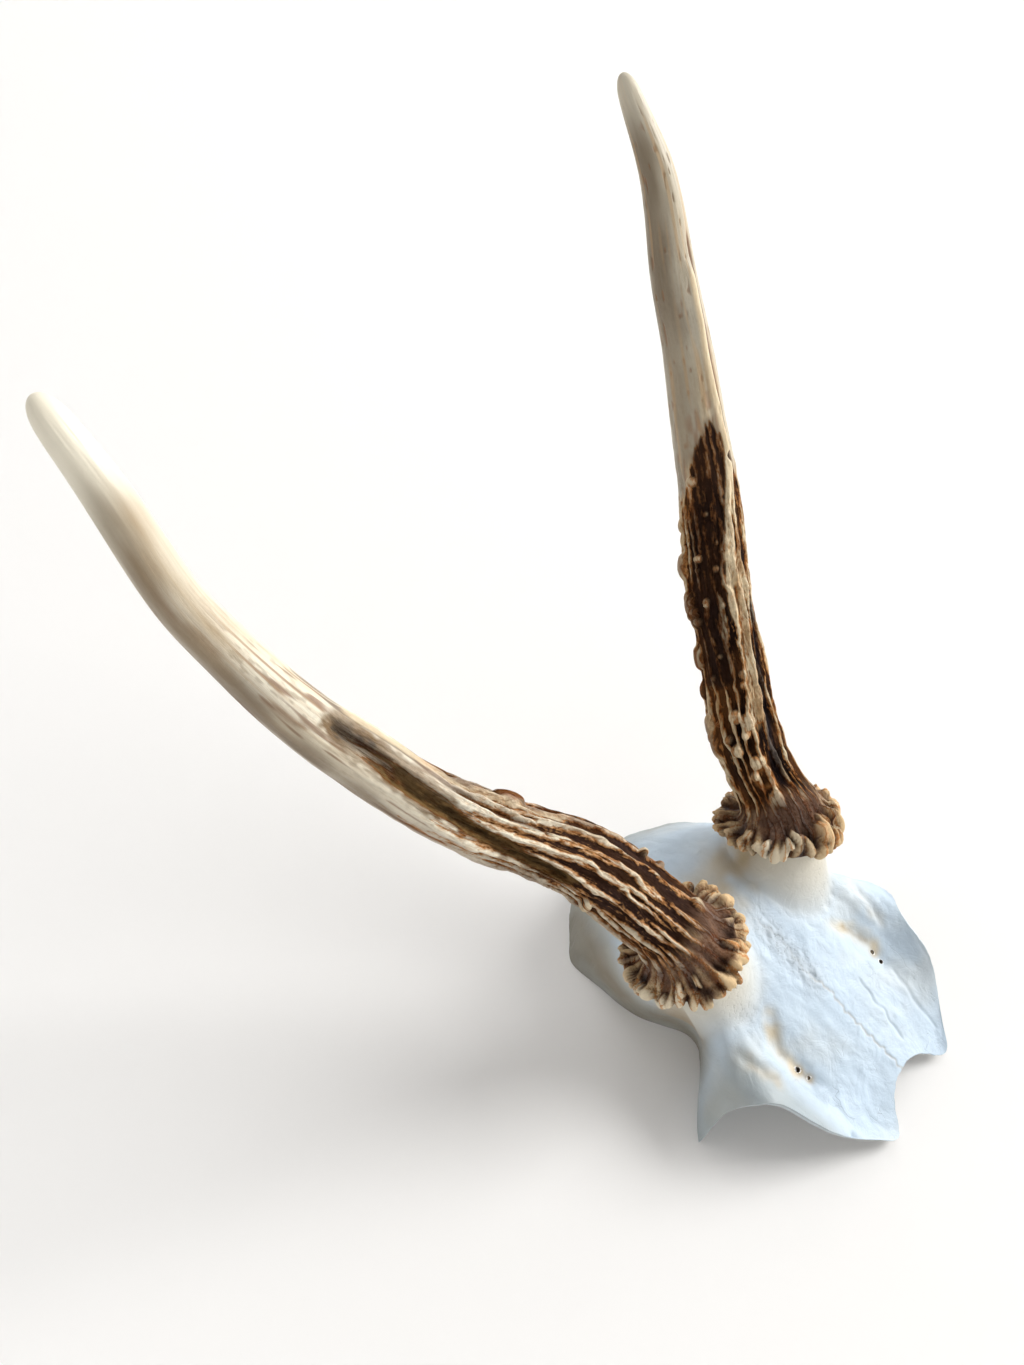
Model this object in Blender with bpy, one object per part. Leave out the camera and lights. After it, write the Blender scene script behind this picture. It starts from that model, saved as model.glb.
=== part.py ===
"""Roe deer trophy: a bleached skull plate, sawn flat, with two unbranched antlers.

Guide points are in millimetres: x to the animal's left, y to its back, z up from the saw cut.
"""
import math

import bpy
import bmesh
import numpy as np

# Frame
MM = 0.001
ORIGIN_Y = 63.0          # guide y that becomes the part's y = 0

# Saw cut and bone thickness
SAW_BOX = ((-70, 70), (-45, 100), (-8, 0))       # x, y and z limits of what is cut away
BONE_LOBE = 2.1          # at the thin front lobes and the orbit rims
BONE_CAP = 3.6           # over the braincase
BONE_FOREHEAD = 2.4      # extra along the middle of the forehead
BONE_PEDICLE = 7.5       # extra under each pedicle
BONE_TIP = 2.4           # towards the tips of the orbital processes
CAP_STARTS, CAP_FULL = -5, 24                    # guide y where the braincase thickness grows
FOREHEAD_Y = 14
FOREHEAD_REACH = (12, 16)                        # across, along
PEDICLE_AT = (21, 37)                            # guide x and y of the thickest bone
PEDICLE_REACH = 13
TIP_STARTS, TIP_FULL = 32, 42                    # guide x along the orbital processes
TIP_BACK = (14, 26)                              # guide y where the processes end
EDGE_BULGE = 0.2         # how far the rounded edge stands out, as a share of the thickness
RIM_SHARE = 0.5          # share of the thickness left at the free front edges
FREE_EDGE_ENDS = (10, 20)                        # guide y where the free edge meets the saw cut

# Half sections of the plate, front to back, each from the midline out to the rim
SECTIONS = (
    ((0, -20.7, 7.7), (4.5, -21.2, 7.3), (8.6, -23.4, 5.6), (11.4, -26.4, 3.6),
     (13.6, -28.4, 2.5), (15.6, -28.4, 3.0), (17.4, -27.0, 4.0), (18.9, -25.2, 5.0)),
    ((0, -14.7, 10.5), (5.6, -15.2, 10.0), (10.4, -16.8, 8.8), (14.2, -18.8, 7.4),
     (17.2, -20.4, 6.6), (19.8, -21.2, 6.6), (22.2, -21.0, 7.4), (24.2, -19.8, 8.6)),
    ((0, -6.9, 14.0), (7.0, -7.3, 13.6), (13.0, -8.4, 12.6), (18.0, -9.6, 11.8),
     (22.2, -10.6, 11.8), (25.6, -11.0, 12.8), (28.4, -10.8, 14.6), (30.8, -10.0, 16.4)),
    ((0, 0, 17.2), (8.0, -0.1, 16.8), (15.2, -0.2, 15.6), (20.8, -0.2, 14.6),
     (25.0, 0, 15.2), (28.8, 0.3, 17.0), (31.8, 0.6, 18.8), (34.2, 1.0, 19.8)),
    ((0, 5.5, 19.9), (8.4, 5.5, 19.5), (16.0, 5.4, 18.2), (21.6, 5.2, 16.8),
     (26.6, 5.0, 18.2), (31.0, 4.8, 19.8), (34.6, 4.8, 20.3), (37.6, 5.0, 19.6)),
    ((0, 10.5, 22.5), (8.5, 10.5, 22.1), (16.2, 10.4, 20.9), (22.2, 10.3, 19.2),
     (28.0, 10.0, 20.8), (34.0, 9.8, 20.6), (39.0, 9.8, 17.2), (42.9, 10.4, 11.8)),
    ((0, 15.5, 24.9), (8.5, 15.5, 24.6), (16.2, 15.5, 23.6), (22.6, 15.5, 22.2),
     (29.2, 15.0, 22.6), (36.2, 14.4, 18.8), (43.0, 13.4, 9.8), (48.8, 12.6, -2.5)),
    ((0, 20.5, 27.2), (8.5, 20.5, 27.0), (16.0, 20.5, 26.2), (22.6, 20.5, 25.2),
     (28.8, 20.2, 24.0), (34.4, 19.6, 18.6), (37.4, 19.2, 8.4), (37.6, 19.0, -2.5)),
    ((0, 28.5, 30.8), (8.5, 28.5, 30.9), (16.0, 28.5, 30.9), (22.2, 28.5, 30.0),
     (26.8, 28.2, 26.2), (29.2, 27.8, 18.4), (28.4, 27.3, 8.4), (26.4, 26.8, -2.5)),
    ((0, 41.0, 34.2), (8.5, 41.0, 34.7), (16.0, 41.0, 35.0), (23.0, 41.0, 33.0),
     (28.5, 41.2, 27.0), (31.5, 41.3, 18.0), (31.6, 41.3, 8.0), (30.3, 41.3, -2.5)),
    ((0, 55.0, 31.7), (8.6, 55.0, 31.2), (16.0, 55.0, 29.2), (22.0, 55.0, 25.2),
     (27.0, 55.2, 19.0), (30.2, 55.5, 11.5), (31.6, 55.8, 4.0), (31.6, 55.9, -2.5)),
    ((0, 66.0, 24.5), (8.6, 65.8, 23.6), (16.0, 65.2, 20.6), (21.5, 64.4, 16.6),
     (26.0, 63.6, 11.8), (29.2, 63.0, 6.8), (31.0, 62.6, 2.2), (31.6, 62.4, -2.5)),
    ((0, 76.0, 13.0), (8.8, 75.4, 12.0), (16.4, 73.6, 9.4), (22.0, 71.6, 6.8),
     (26.4, 69.8, 4.4), (29.2, 68.4, 2.4), (31.0, 67.4, 0), (32.0, 66.8, -2.5)),
    ((0, 84.5, -2.5), (9.0, 83.6, -2.5), (17.0, 80.4, -2.5), (23.0, 76.2, -2.5),
     (27.2, 72.8, -2.5), (29.8, 70.6, -2.5), (31.2, 69.2, -2.5), (32.2, 68.0, -2.5)),
)
ROWS_PER_SPAN = 2
COLUMNS_PER_SPAN = 2

# Foramina through the forehead: place on the left side and radius
FORAMINA = (((21.3, 0.9, 15.3), 0.9), ((20.9, -2.3, 14.0), 0.7))
FORAMEN_AXIS = np.array((0, -0.41, 0.91)) / np.linalg.norm((0, -0.41, 0.91))
FORAMEN_REACH = 8.0
FORAMEN_SIDES = 8

# Pedicles and the discs where the antlers sit on them, left side
SEAT = np.array((23.6, 39.6, 39.8))
SEAT_NORMAL = np.array((0.216, 0.311, 0.925)) / np.linalg.norm((0.216, 0.311, 0.925))
SEAT_GAP = 0.3
PEDICLE_RINGS = ((0.0, 11.2), (-2.5, 10.8), (-5.5, 11.2), (-9.5, 9.0))   # along the normal, radius
RAMP_HEIGHT = 4.0        # the forehead's smooth rise to each pedicle
RAMP_WIDTH = 11.0
RAMP_FROM, RAMP_TO = 4, 24                       # guide z over which the rise comes in
PEDICLE_SIDES = 28

# Antler paths from the seat to the tip, and radius by distance along the path
PATH_LEAD = 5.0          # the paths leave the seat straight up for this far
LEFT_PATH = ((27.2, 51.1, 52.8), (32.6, 63.1, 64.6), (40.2, 73.8, 75.1), (47.8, 84.7, 85.2),
             (56.2, 93.9, 95.9), (63.3, 103.1, 107.2), (69.0, 112.1, 119.1), (73.6, 120.3, 131.6),
             (76.9, 128.3, 144.1), (79.2, 134.8, 156.9), (80.5, 140.9, 169.4), (80.6, 148.9, 181.1),
             (80.8, 153.9, 187.9))
RIGHT_PATH = ((-27.4, 52.2, 53.6), (-34.0, 66.5, 68.3), (-43.0, 78.0, 79.0), (-52.4, 88.4, 89.6),
              (-59.5, 97.7, 100.4), (-65.0, 106.1, 111.4), (-70.0, 113.8, 121.9),
              (-73.7, 120.6, 132.2), (-76.6, 127.0, 142.2), (-79.0, 132.4, 152.2),
              (-79.7, 137.5, 162.2), (-80.0, 142.2, 171.7), (-80.4, 147.8, 179.6),
              (-80.8, 153.8, 187.4))
LEFT_RADII = ((10, 10.4), (18, 9.9), (30, 10.0), (45, 9.5), (60, 9.3), (76, 9.5), (88, 9.0),
              (100, 8.3), (115, 7.5), (135, 6.5), (155, 5.8), (170, 4.7), (185, 3.4), (195, 1.8))
RIGHT_RADII = ((12, 11.0), (25, 10.8), (40, 10.3), (57, 8.9), (75, 8.5), (91, 7.8), (106, 7.3),
               (120, 6.5), (145, 5.3), (165, 4.7), (180, 4.0), (190, 3.0), (196, 2.2))

# Coronet: distance above the seat, radius, share of the bead height
CORONET_RINGS = ((0.0, 12.2, 0.0), (0.9, 15.2, 0.5), (2.6, 17.2, 1.0), (4.6, 16.6, 1.0),
                 (5.6, 13.4, 0.3), (7.6, 11.6, 0.0))
CORONET_BEAD = 0.8
SHAFT_RINGS = 27
TIP_RINGS = 3
SIDES = 42

# Lengthwise ridges
RIDGES = 11
RIDGE_HEIGHT = 0.75
RIDGE_FULL_TO = 60.0     # full height up to here along the path
RIDGE_GONE_AT = 125.0    # none from here on
WANDER_ALONG = (0.5, 17)                         # radians, mm: slow swing of all the ridges
WANDER_ROUND = (0.3, 29)                         # radians, mm: swing that differs round the shaft

# Larger forms: (distance, degrees) along a line, half width, height; below zero is hollow
LEFT_FORMS = ((((77, 269), (107, 272), (150, 274)), 2.2, 0.6),
              (((14, 245), (35, 262), (62, 284)), 2.6, -0.8),
              (((50, 190), (88, 205), (116, 238)), 5.5, -0.4),
              (((2, 131), (5, 131)), 4.5, 1.6))
RIGHT_FORMS = ((((50, 226), (65, 240), (93, 273), (120, 287)), 3.2, -1.2),
               (((30, 340), (56, 331), (89, 322), (118, 318)), 2.2, 0.6),
               (((64, 343), (73, 343)), 3.0, 0.9))
FORM_FADE = 6.0          # how far a form runs out beyond its ends


def spline(knots, values, places):
    """Natural cubic spline through values at the knots, read off at the places."""
    knots = np.asarray(knots, float)
    values = np.asarray(values, float)
    count = len(knots)
    steps = np.diff(knots)
    slopes = np.diff(values, axis=0) / steps[:, None]
    matrix = np.eye(count)
    right = np.zeros_like(values)
    for i in range(1, count - 1):
        matrix[i, i - 1] = steps[i - 1]
        matrix[i, i] = 2 * (steps[i - 1] + steps[i])
        matrix[i, i + 1] = steps[i]
        right[i] = 6 * (slopes[i] - slopes[i - 1])
    bends = np.linalg.solve(matrix, right)
    span = np.clip(np.searchsorted(knots, places, side="right") - 1, 0, count - 2)
    before = (knots[span + 1] - places)[:, None]
    after = (places - knots[span])[:, None]
    step = steps[span][:, None]
    low, high = bends[span], bends[span + 1]
    return ((low * before ** 3 + high * after ** 3) / (6 * step)
            + (values[span] / step - low * step / 6) * before
            + (values[span + 1] / step - high * step / 6) * after)


def smooth_step(value, start, end):
    """0 before start, 1 after end, smooth between."""
    share = np.clip((value - start) / (end - start), 0, 1)
    return share * share * (3 - 2 * share)


def split_spans(knots, pieces):
    """The knots, with each span between them split into equal pieces."""
    inner = [np.linspace(a, b, pieces, endpoint=False) for a, b in zip(knots[:-1], knots[1:])]
    return np.concatenate(inner + [knots[-1:]])


def mean_spacing(points, axis):
    """Knots along one axis of a point grid, by the mean distance between its lines."""
    steps = np.linalg.norm(np.diff(points, axis=axis), axis=2)
    return np.concatenate([[0], np.cumsum(steps.mean(axis=1 - axis))])


def to_world(points):
    """Guide millimetres to the part's frame in metres."""
    return (np.asarray(points, float) - (0, ORIGIN_Y, 0)) * MM


def make_material(name, colour, roughness):
    material = bpy.data.materials.new(name)
    material.use_nodes = True
    shader = material.node_tree.nodes["Principled BSDF"]
    shader.inputs["Base Color"].default_value = (*colour, 1)
    shader.inputs["Roughness"].default_value = roughness
    return material


def make_object(name, points, faces, material=None):
    """One mesh object from guide points, with its faces turned outwards."""
    mesh = bpy.data.meshes.new(name)
    mesh.from_pydata([tuple(p) for p in to_world(points)], [], faces)
    solid = bmesh.new()
    solid.from_mesh(mesh)
    bmesh.ops.recalc_face_normals(solid, faces=solid.faces)
    solid.to_mesh(mesh)
    solid.free()
    thing = bpy.data.objects.new(name, mesh)
    bpy.context.scene.collection.objects.link(thing)
    if material:
        mesh.materials.append(material)
    return thing


def ring_faces(rings, sides, start=0):
    """Quads between neighbouring closed rings of points."""
    faces = []
    for i in range(rings - 1):
        for j in range(sides):
            k = (j + 1) % sides
            a = start + i * sides
            faces.append((a + j, a + k, a + sides + k, a + sides + j))
    return faces


def add_boolean(target, tool, operation):
    """A live Boolean, with its tool kept as a hidden wire object."""
    tool.hide_render = True
    tool.display_type = "WIRE"
    modifier = target.modifiers.new(tool.name, "BOOLEAN")
    modifier.operation = operation
    modifier.solver = "EXACT"
    modifier.object = tool


# Skull plate

def outer_surface():
    """The plate's outside as a grid of points, both halves."""
    half = np.array(SECTIONS, float)
    mirrored = half[:, :0:-1] * (-1, 1, 1)
    full = np.concatenate([mirrored, half], axis=1)
    across = mean_spacing(full, 1)
    along = mean_spacing(full, 0)
    across_places = split_spans(across, COLUMNS_PER_SPAN)
    along_places = split_spans(along, ROWS_PER_SPAN)
    lines = np.array([spline(across, row, across_places) for row in full])
    flat = spline(along, lines.reshape(len(lines), -1), along_places)
    grid = flat.reshape(len(along_places), len(across_places), 3)
    for side in (1, -1):
        mirror = np.array((side, 1, 1))
        normal = SEAT_NORMAL * mirror
        from_seat = grid - SEAT * mirror
        height = from_seat @ normal
        radius = np.linalg.norm(from_seat - height[:, :, None] * normal, axis=2)
        rise = RAMP_HEIGHT * np.exp(-(radius / RAMP_WIDTH) ** 2)
        rise *= smooth_step(grid[:, :, 2], RAMP_FROM, RAMP_TO)
        grid = grid + rise[:, :, None] * normal
    return grid


def grid_normals(grid):
    """Unit normals of a point grid, away from the inside of the skull."""
    down = np.gradient(grid, axis=0)
    over = np.gradient(grid, axis=1)
    normal = np.cross(over, down)
    normal /= np.linalg.norm(normal, axis=2)[:, :, None]
    return normal


def bone_thickness(grid):
    """Thin at the front lobes and the orbits, thick under the forehead and the pedicles."""
    side = np.abs(grid[:, :, 0])
    back = grid[:, :, 1]
    cap = BONE_LOBE + (BONE_CAP - BONE_LOBE) * smooth_step(back, CAP_STARTS, CAP_FULL)
    forehead = BONE_FOREHEAD * np.exp(-(side / FOREHEAD_REACH[0]) ** 2
                                      - ((back - FOREHEAD_Y) / FOREHEAD_REACH[1]) ** 2)
    from_seat = np.hypot(side - PEDICLE_AT[0], back - PEDICLE_AT[1])
    pedicle = BONE_PEDICLE * np.exp(-(from_seat / PEDICLE_REACH) ** 2)
    thin = smooth_step(side, TIP_STARTS, TIP_FULL) * (1 - smooth_step(back, *TIP_BACK))
    thickness = (cap + forehead + pedicle) * (1 - thin) + BONE_TIP * thin
    rows, columns = side.shape
    from_side = np.minimum(np.arange(columns), np.arange(columns)[::-1])[None, :]
    from_front = np.arange(rows)[:, None]
    from_edge = np.minimum(np.broadcast_to(from_side, side.shape), from_front)
    free = 1 - smooth_step(back, *FREE_EDGE_ENDS)
    taper = (1 - RIM_SHARE) * (1 - smooth_step(from_edge, 0, 2 * COLUMNS_PER_SPAN)) * free
    return thickness * (1 - taper)


def border_indices(rows, columns):
    """Grid positions around the border, in order."""
    top = [(0, j) for j in range(columns - 1)]
    right = [(i, columns - 1) for i in range(rows - 1)]
    bottom = [(rows - 1, j) for j in range(columns - 1, 0, -1)]
    left = [(i, 0) for i in range(rows - 1, 0, -1)]
    return top + right + bottom + left


def make_shell(material):
    """Outer and inner surface joined around the border by a rounded edge."""
    outer = outer_surface()
    normal = grid_normals(outer)
    thickness = bone_thickness(outer)[:, :, None]
    inner = outer - normal * thickness
    rows, columns = outer.shape[:2]
    border = border_indices(rows, columns)
    middle = []
    for i, j in border:
        inward = outer[min(max(i, 1), rows - 2), min(max(j, 1), columns - 2)]
        away = outer[i, j] - inward
        away /= np.linalg.norm(away)
        middle.append((outer[i, j] + inner[i, j]) / 2 + away * thickness[i, j] * EDGE_BULGE)
    points = np.concatenate([outer.reshape(-1, 3), inner.reshape(-1, 3), np.array(middle)])
    inner_start = rows * columns
    middle_start = 2 * rows * columns
    faces = []
    for i in range(rows - 1):
        for j in range(columns - 1):
            a = i * columns + j
            faces.append((a, a + 1, a + columns + 1, a + columns))
            b = inner_start + a
            faces.append((b, b + columns, b + columns + 1, b + 1))
    for n, (i, j) in enumerate(border):
        m = (n + 1) % len(border)
        k, l = border[m]
        a, b = i * columns + j, k * columns + l
        faces.append((a, middle_start + n, middle_start + m, b))
        faces.append((middle_start + n, inner_start + a, inner_start + b, middle_start + m))
    return make_object("skull_plate", points, faces, material)


def make_saw_box():
    """Everything below the saw cut."""
    xs, ys, zs = SAW_BOX
    points = [(x, y, z) for z in zs for y in ys for x in xs]
    faces = [(0, 1, 3, 2), (4, 5, 7, 6), (0, 1, 5, 4), (2, 3, 7, 6), (0, 2, 6, 4), (1, 3, 7, 5)]
    return make_object("saw_box", points, faces)


def make_turned(name, foot, axis, rings, sides, material=None):
    """A solid of revolution: rings of (distance along the axis, radius) from the foot."""
    first = np.cross(axis, (0, 1, 0))
    first /= np.linalg.norm(first)
    second = np.cross(axis, first)
    points = []
    for height, radius in rings:
        for j in range(sides):
            angle = 2 * math.pi * j / sides
            points.append(foot + axis * height
                          + (first * math.cos(angle) + second * math.sin(angle)) * radius)
    faces = ring_faces(len(rings), sides)
    faces.append(tuple(range(sides)))
    last = (len(rings) - 1) * sides
    faces.append(tuple(range(last, last + sides)))
    return make_object(name, np.array(points), faces, material)


def make_plate(material):
    plate = make_shell(material)
    for name, side in (("left", 1), ("right", -1)):
        mirror = np.array((side, 1, 1))
        top = (SEAT - SEAT_NORMAL * SEAT_GAP) * mirror
        pedicle = make_turned("pedicle_" + name, top, SEAT_NORMAL * mirror, PEDICLE_RINGS,
                              PEDICLE_SIDES)
        add_boolean(plate, pedicle, "UNION")
        for n, (place, radius) in enumerate(FORAMINA):
            rings = ((-FORAMEN_REACH, radius), (FORAMEN_REACH, radius))
            hole = make_turned(f"foramen_{name}_{n}", np.array(place) * mirror, FORAMEN_AXIS,
                               rings, FORAMEN_SIDES)
            add_boolean(plate, hole, "DIFFERENCE")
    add_boolean(plate, make_saw_box(), "DIFFERENCE")
    return plate


# Antlers

def path_frames(path, seat, normal, stations):
    """Centre, direction and two side vectors at each distance along the path."""
    lead = [seat, seat + normal * PATH_LEAD]
    guides = np.array(lead + [np.array(p, float) for p in path])
    lengths = np.concatenate([[0], np.cumsum(np.linalg.norm(np.diff(guides, axis=0), axis=1))])
    scale = lengths[-1]
    centres = spline(lengths, guides, np.minimum(stations, scale))
    ahead = spline(lengths, guides, np.minimum(stations + 0.05, scale))
    behind = spline(lengths, guides, np.maximum(stations - 0.05, 0))
    directions = ahead - behind
    directions /= np.linalg.norm(directions, axis=1)[:, None]
    directions[0] = normal
    first = np.cross((0, 1, 0), normal)
    first /= np.linalg.norm(first)
    firsts, seconds = [], []
    for direction in directions:
        first = first - direction * first.dot(direction)
        first /= np.linalg.norm(first)
        firsts.append(first)
        seconds.append(np.cross(direction, first))
    return centres, directions, np.array(firsts), np.array(seconds), scale


def groove_depth(angles, along, phase):
    """Grooves between wavy lengthwise ridges, as depths below the crests."""
    height = RIDGE_HEIGHT * (1 - smooth_step(along, RIDGE_FULL_TO, RIDGE_GONE_AT))
    wander = WANDER_ALONG[0] * math.sin(along / WANDER_ALONG[1] + phase)
    wander = wander + WANDER_ROUND[0] * np.sin(2 * angles + along / WANDER_ROUND[1])
    wave = np.cos(RIDGES * angles + wander)
    return 2 * height * ((1 - wave) / 2) ** 1.5


def form_height(angles, along, radius, forms):
    """Height of the larger forms at one distance, by angle."""
    height = np.zeros_like(angles)
    for line, width, rise in forms:
        distances = [point[0] for point in line]
        centre = math.radians(np.interp(along, distances, [point[1] for point in line]))
        off = (angles - centre + math.pi) % (2 * math.pi) - math.pi
        ends = (smooth_step(along, distances[0] - FORM_FADE, distances[0])
                * (1 - smooth_step(along, distances[-1], distances[-1] + FORM_FADE)))
        height += rise * ends * np.exp(-(off * radius / width) ** 2)
    return height


def make_antler(name, path, radii, forms, side, phase, material):
    mirror = np.array((side, 1, 1))
    normal = SEAT_NORMAL * mirror
    seat = SEAT * mirror
    length = path_frames(path, seat, normal, np.array([0.0]))[4]
    coronet_top = CORONET_RINGS[-1][0]
    tip_radius = radii[-1][1]
    tip_start = length - tip_radius
    shaft = np.linspace(coronet_top, tip_start, SHAFT_RINGS)[1:]
    turn = np.linspace(0, math.pi / 2, TIP_RINGS + 1)[1:-1]
    tip = tip_start + tip_radius * np.sin(turn)
    stations = np.concatenate([[ring[0] for ring in CORONET_RINGS], shaft, tip, [length]])
    centres, directions, firsts, seconds, _ = path_frames(path, seat, normal, stations)
    angles = 2 * math.pi * np.arange(SIDES) / SIDES
    teeth = np.where(np.arange(SIDES) % 2 == 0, 1.0, -1.0)
    shaft_radius = np.interp(stations, *zip(*(((coronet_top, CORONET_RINGS[-1][1]),) + radii)))
    points = []
    for n, along in enumerate(stations[:-1]):
        if n < len(CORONET_RINGS):
            _, radius, share = CORONET_RINGS[n]
            radius = radius + CORONET_BEAD * share * teeth
        else:
            radius = shaft_radius[n] - groove_depth(angles, along, phase)
            if along > tip_start:
                radius = tip_radius * math.sqrt(1 - ((along - tip_start) / tip_radius) ** 2)
                radius = np.full(SIDES, radius)
        if 0 < along < tip_start:
            radius = radius + form_height(angles, along, np.mean(radius), forms)
        ring = (centres[n] + np.outer(np.cos(angles) * radius, firsts[n])
                + np.outer(np.sin(angles) * radius, seconds[n]))
        points.extend(ring)
    rings = len(stations) - 1
    faces = ring_faces(rings, SIDES)
    base_centre = len(points)
    points.append(centres[0])
    points.append(centres[-1])
    last = (rings - 1) * SIDES
    for j in range(SIDES):
        k = (j + 1) % SIDES
        faces.append((base_centre, k, j))
        faces.append((base_centre + 1, last + j, last + k))
    return make_object(name, np.array(points), faces, material)


def main():
    for thing in list(bpy.data.objects):
        bpy.data.objects.remove(thing, do_unlink=True)
    bone = make_material("bleached_bone", (0.80, 0.85, 0.88), 0.55)
    antler = make_material("antler", (0.34, 0.22, 0.12), 0.6)
    make_plate(bone)
    make_antler("antler_left", LEFT_PATH, LEFT_RADII, LEFT_FORMS, 1, 0.0, antler)
    make_antler("antler_right", RIGHT_PATH, RIGHT_RADII, RIGHT_FORMS, -1, 1.1, antler.copy())


main()
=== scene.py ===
"""Looks of the roe deer skull plate: fine bone and antler surfaces, floor, light and camera.

Shapes are worked out in guide millimetres: x to the animal's left, y to its back, z up from
the saw cut. Places on an antler are given as (distance from the seat in mm, angle in degrees).
"""

import math
from collections import namedtuple

import bmesh
import bpy
import numpy as np
from mathutils import Matrix, Vector


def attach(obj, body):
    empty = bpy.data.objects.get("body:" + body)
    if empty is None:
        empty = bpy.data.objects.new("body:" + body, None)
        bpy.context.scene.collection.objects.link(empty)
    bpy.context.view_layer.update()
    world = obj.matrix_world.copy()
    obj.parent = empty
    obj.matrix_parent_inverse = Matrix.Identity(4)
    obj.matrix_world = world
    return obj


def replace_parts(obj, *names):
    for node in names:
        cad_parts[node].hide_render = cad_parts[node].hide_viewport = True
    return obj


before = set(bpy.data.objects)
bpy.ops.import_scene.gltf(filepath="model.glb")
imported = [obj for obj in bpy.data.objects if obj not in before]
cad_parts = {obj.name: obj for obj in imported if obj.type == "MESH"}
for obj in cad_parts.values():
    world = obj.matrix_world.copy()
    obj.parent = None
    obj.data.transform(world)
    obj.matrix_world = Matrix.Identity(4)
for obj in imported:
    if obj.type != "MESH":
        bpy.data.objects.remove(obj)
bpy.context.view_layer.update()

MM = 0.001
ORIGIN_Y = 63.0          # guide y at the part's y = 0
FINE = 1.0

# Skull plate: half sections from front to back, each from the midline to the rim
SECTIONS = (
    ((0, -20.7, 7.7), (4.5, -21.2, 7.3), (8.6, -23.4, 5.6), (11.4, -26.4, 3.6),
     (13.6, -28.4, 2.5), (15.6, -28.4, 3.0), (17.4, -27.0, 4.0), (18.9, -25.2, 5.0)),
    ((0, -14.7, 10.5), (5.6, -15.2, 10.0), (10.4, -16.8, 8.8), (14.2, -18.8, 7.4),
     (17.2, -20.4, 6.6), (19.8, -21.2, 6.6), (22.2, -21.0, 7.4), (24.2, -19.8, 8.6)),
    ((0, -6.9, 14.0), (7.0, -7.3, 13.6), (13.0, -8.4, 12.6), (18.0, -9.6, 11.8),
     (22.2, -10.6, 11.8), (25.6, -11.0, 12.8), (28.4, -10.8, 14.6), (30.8, -10.0, 16.4)),
    ((0, 0, 17.2), (8.0, -0.1, 16.8), (15.2, -0.2, 15.6), (20.8, -0.2, 14.6),
     (25.0, 0, 15.2), (28.8, 0.3, 17.0), (31.8, 0.6, 18.8), (34.2, 1.0, 19.8)),
    ((0, 5.5, 19.9), (8.4, 5.5, 19.5), (16.0, 5.4, 18.2), (21.6, 5.2, 16.8),
     (26.6, 5.0, 18.2), (31.0, 4.8, 19.8), (34.6, 4.8, 20.3), (37.6, 5.0, 19.6)),
    ((0, 10.5, 22.5), (8.5, 10.5, 22.1), (16.2, 10.4, 20.9), (22.2, 10.3, 19.2),
     (28.0, 10.0, 20.8), (34.0, 9.8, 20.6), (39.0, 9.8, 17.2), (42.9, 10.4, 11.8)),
    ((0, 15.5, 24.9), (8.5, 15.5, 24.6), (16.2, 15.5, 23.6), (22.6, 15.5, 22.2),
     (29.2, 15.0, 22.6), (36.2, 14.4, 18.8), (43.0, 13.4, 9.8), (48.8, 12.6, -2.5)),
    ((0, 20.5, 27.2), (8.5, 20.5, 27.0), (16.0, 20.5, 26.2), (22.6, 20.5, 25.2),
     (28.8, 20.2, 24.0), (34.4, 19.6, 18.6), (37.4, 19.2, 8.4), (37.6, 19.0, -2.5)),
    ((0, 28.5, 30.8), (8.5, 28.5, 30.9), (16.0, 28.5, 30.9), (22.2, 28.5, 30.0),
     (26.8, 28.2, 26.2), (29.2, 27.8, 18.4), (28.4, 27.3, 8.4), (26.4, 26.8, -2.5)),
    ((0, 41.0, 34.2), (8.5, 41.0, 34.7), (16.0, 41.0, 35.0), (23.0, 41.0, 33.0),
     (28.5, 41.2, 27.0), (31.5, 41.3, 18.0), (31.6, 41.3, 8.0), (30.3, 41.3, -2.5)),
    ((0, 55.0, 31.7), (8.6, 55.0, 31.2), (16.0, 55.0, 29.2), (22.0, 55.0, 25.2),
     (27.0, 55.2, 19.0), (30.2, 55.5, 11.5), (31.6, 55.8, 4.0), (31.6, 55.9, -2.5)),
    ((0, 66.0, 24.5), (8.6, 65.8, 23.6), (16.0, 65.2, 20.6), (21.5, 64.4, 16.6),
     (26.0, 63.6, 11.8), (29.2, 63.0, 6.8), (31.0, 62.6, 2.2), (31.6, 62.4, -2.5)),
    ((0, 76.0, 13.0), (8.8, 75.4, 12.0), (16.4, 73.6, 9.4), (22.0, 71.6, 6.8),
     (26.4, 69.8, 4.4), (29.2, 68.4, 2.4), (31.0, 67.4, 0), (32.0, 66.8, -2.5)),
    ((0, 84.5, -2.5), (9.0, 83.6, -2.5), (17.0, 80.4, -2.5), (23.0, 76.2, -2.5),
     (27.2, 72.8, -2.5), (29.8, 70.6, -2.5), (31.2, 69.2, -2.5), (32.2, 68.0, -2.5)),
)
PLATE_ROWS = int(214 * FINE)
PLATE_COLUMNS = int(100 * FINE)      # on each side of the midline
MIDLINE_DENSITY = 0.6                # spacing at the midline, as a share of the mean
EDGE_CELLS = int(14 * FINE)          # normals nearer the border are taken from this far in
# Thickness of the bone: front lobe, braincase, what forehead and pedicles add, and the process tip
BONE_LOBE, BONE_CAP, BONE_FOREHEAD, BONE_PEDICLE, BONE_TIP = 2.1, 3.6, 2.4, 7.5, 2.4
RIM_SHARE = 0.5                      # thickness at the free border, as a share
EDGE_BULGE = 0.2                     # roundness of the border, as a share of its thickness
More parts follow.
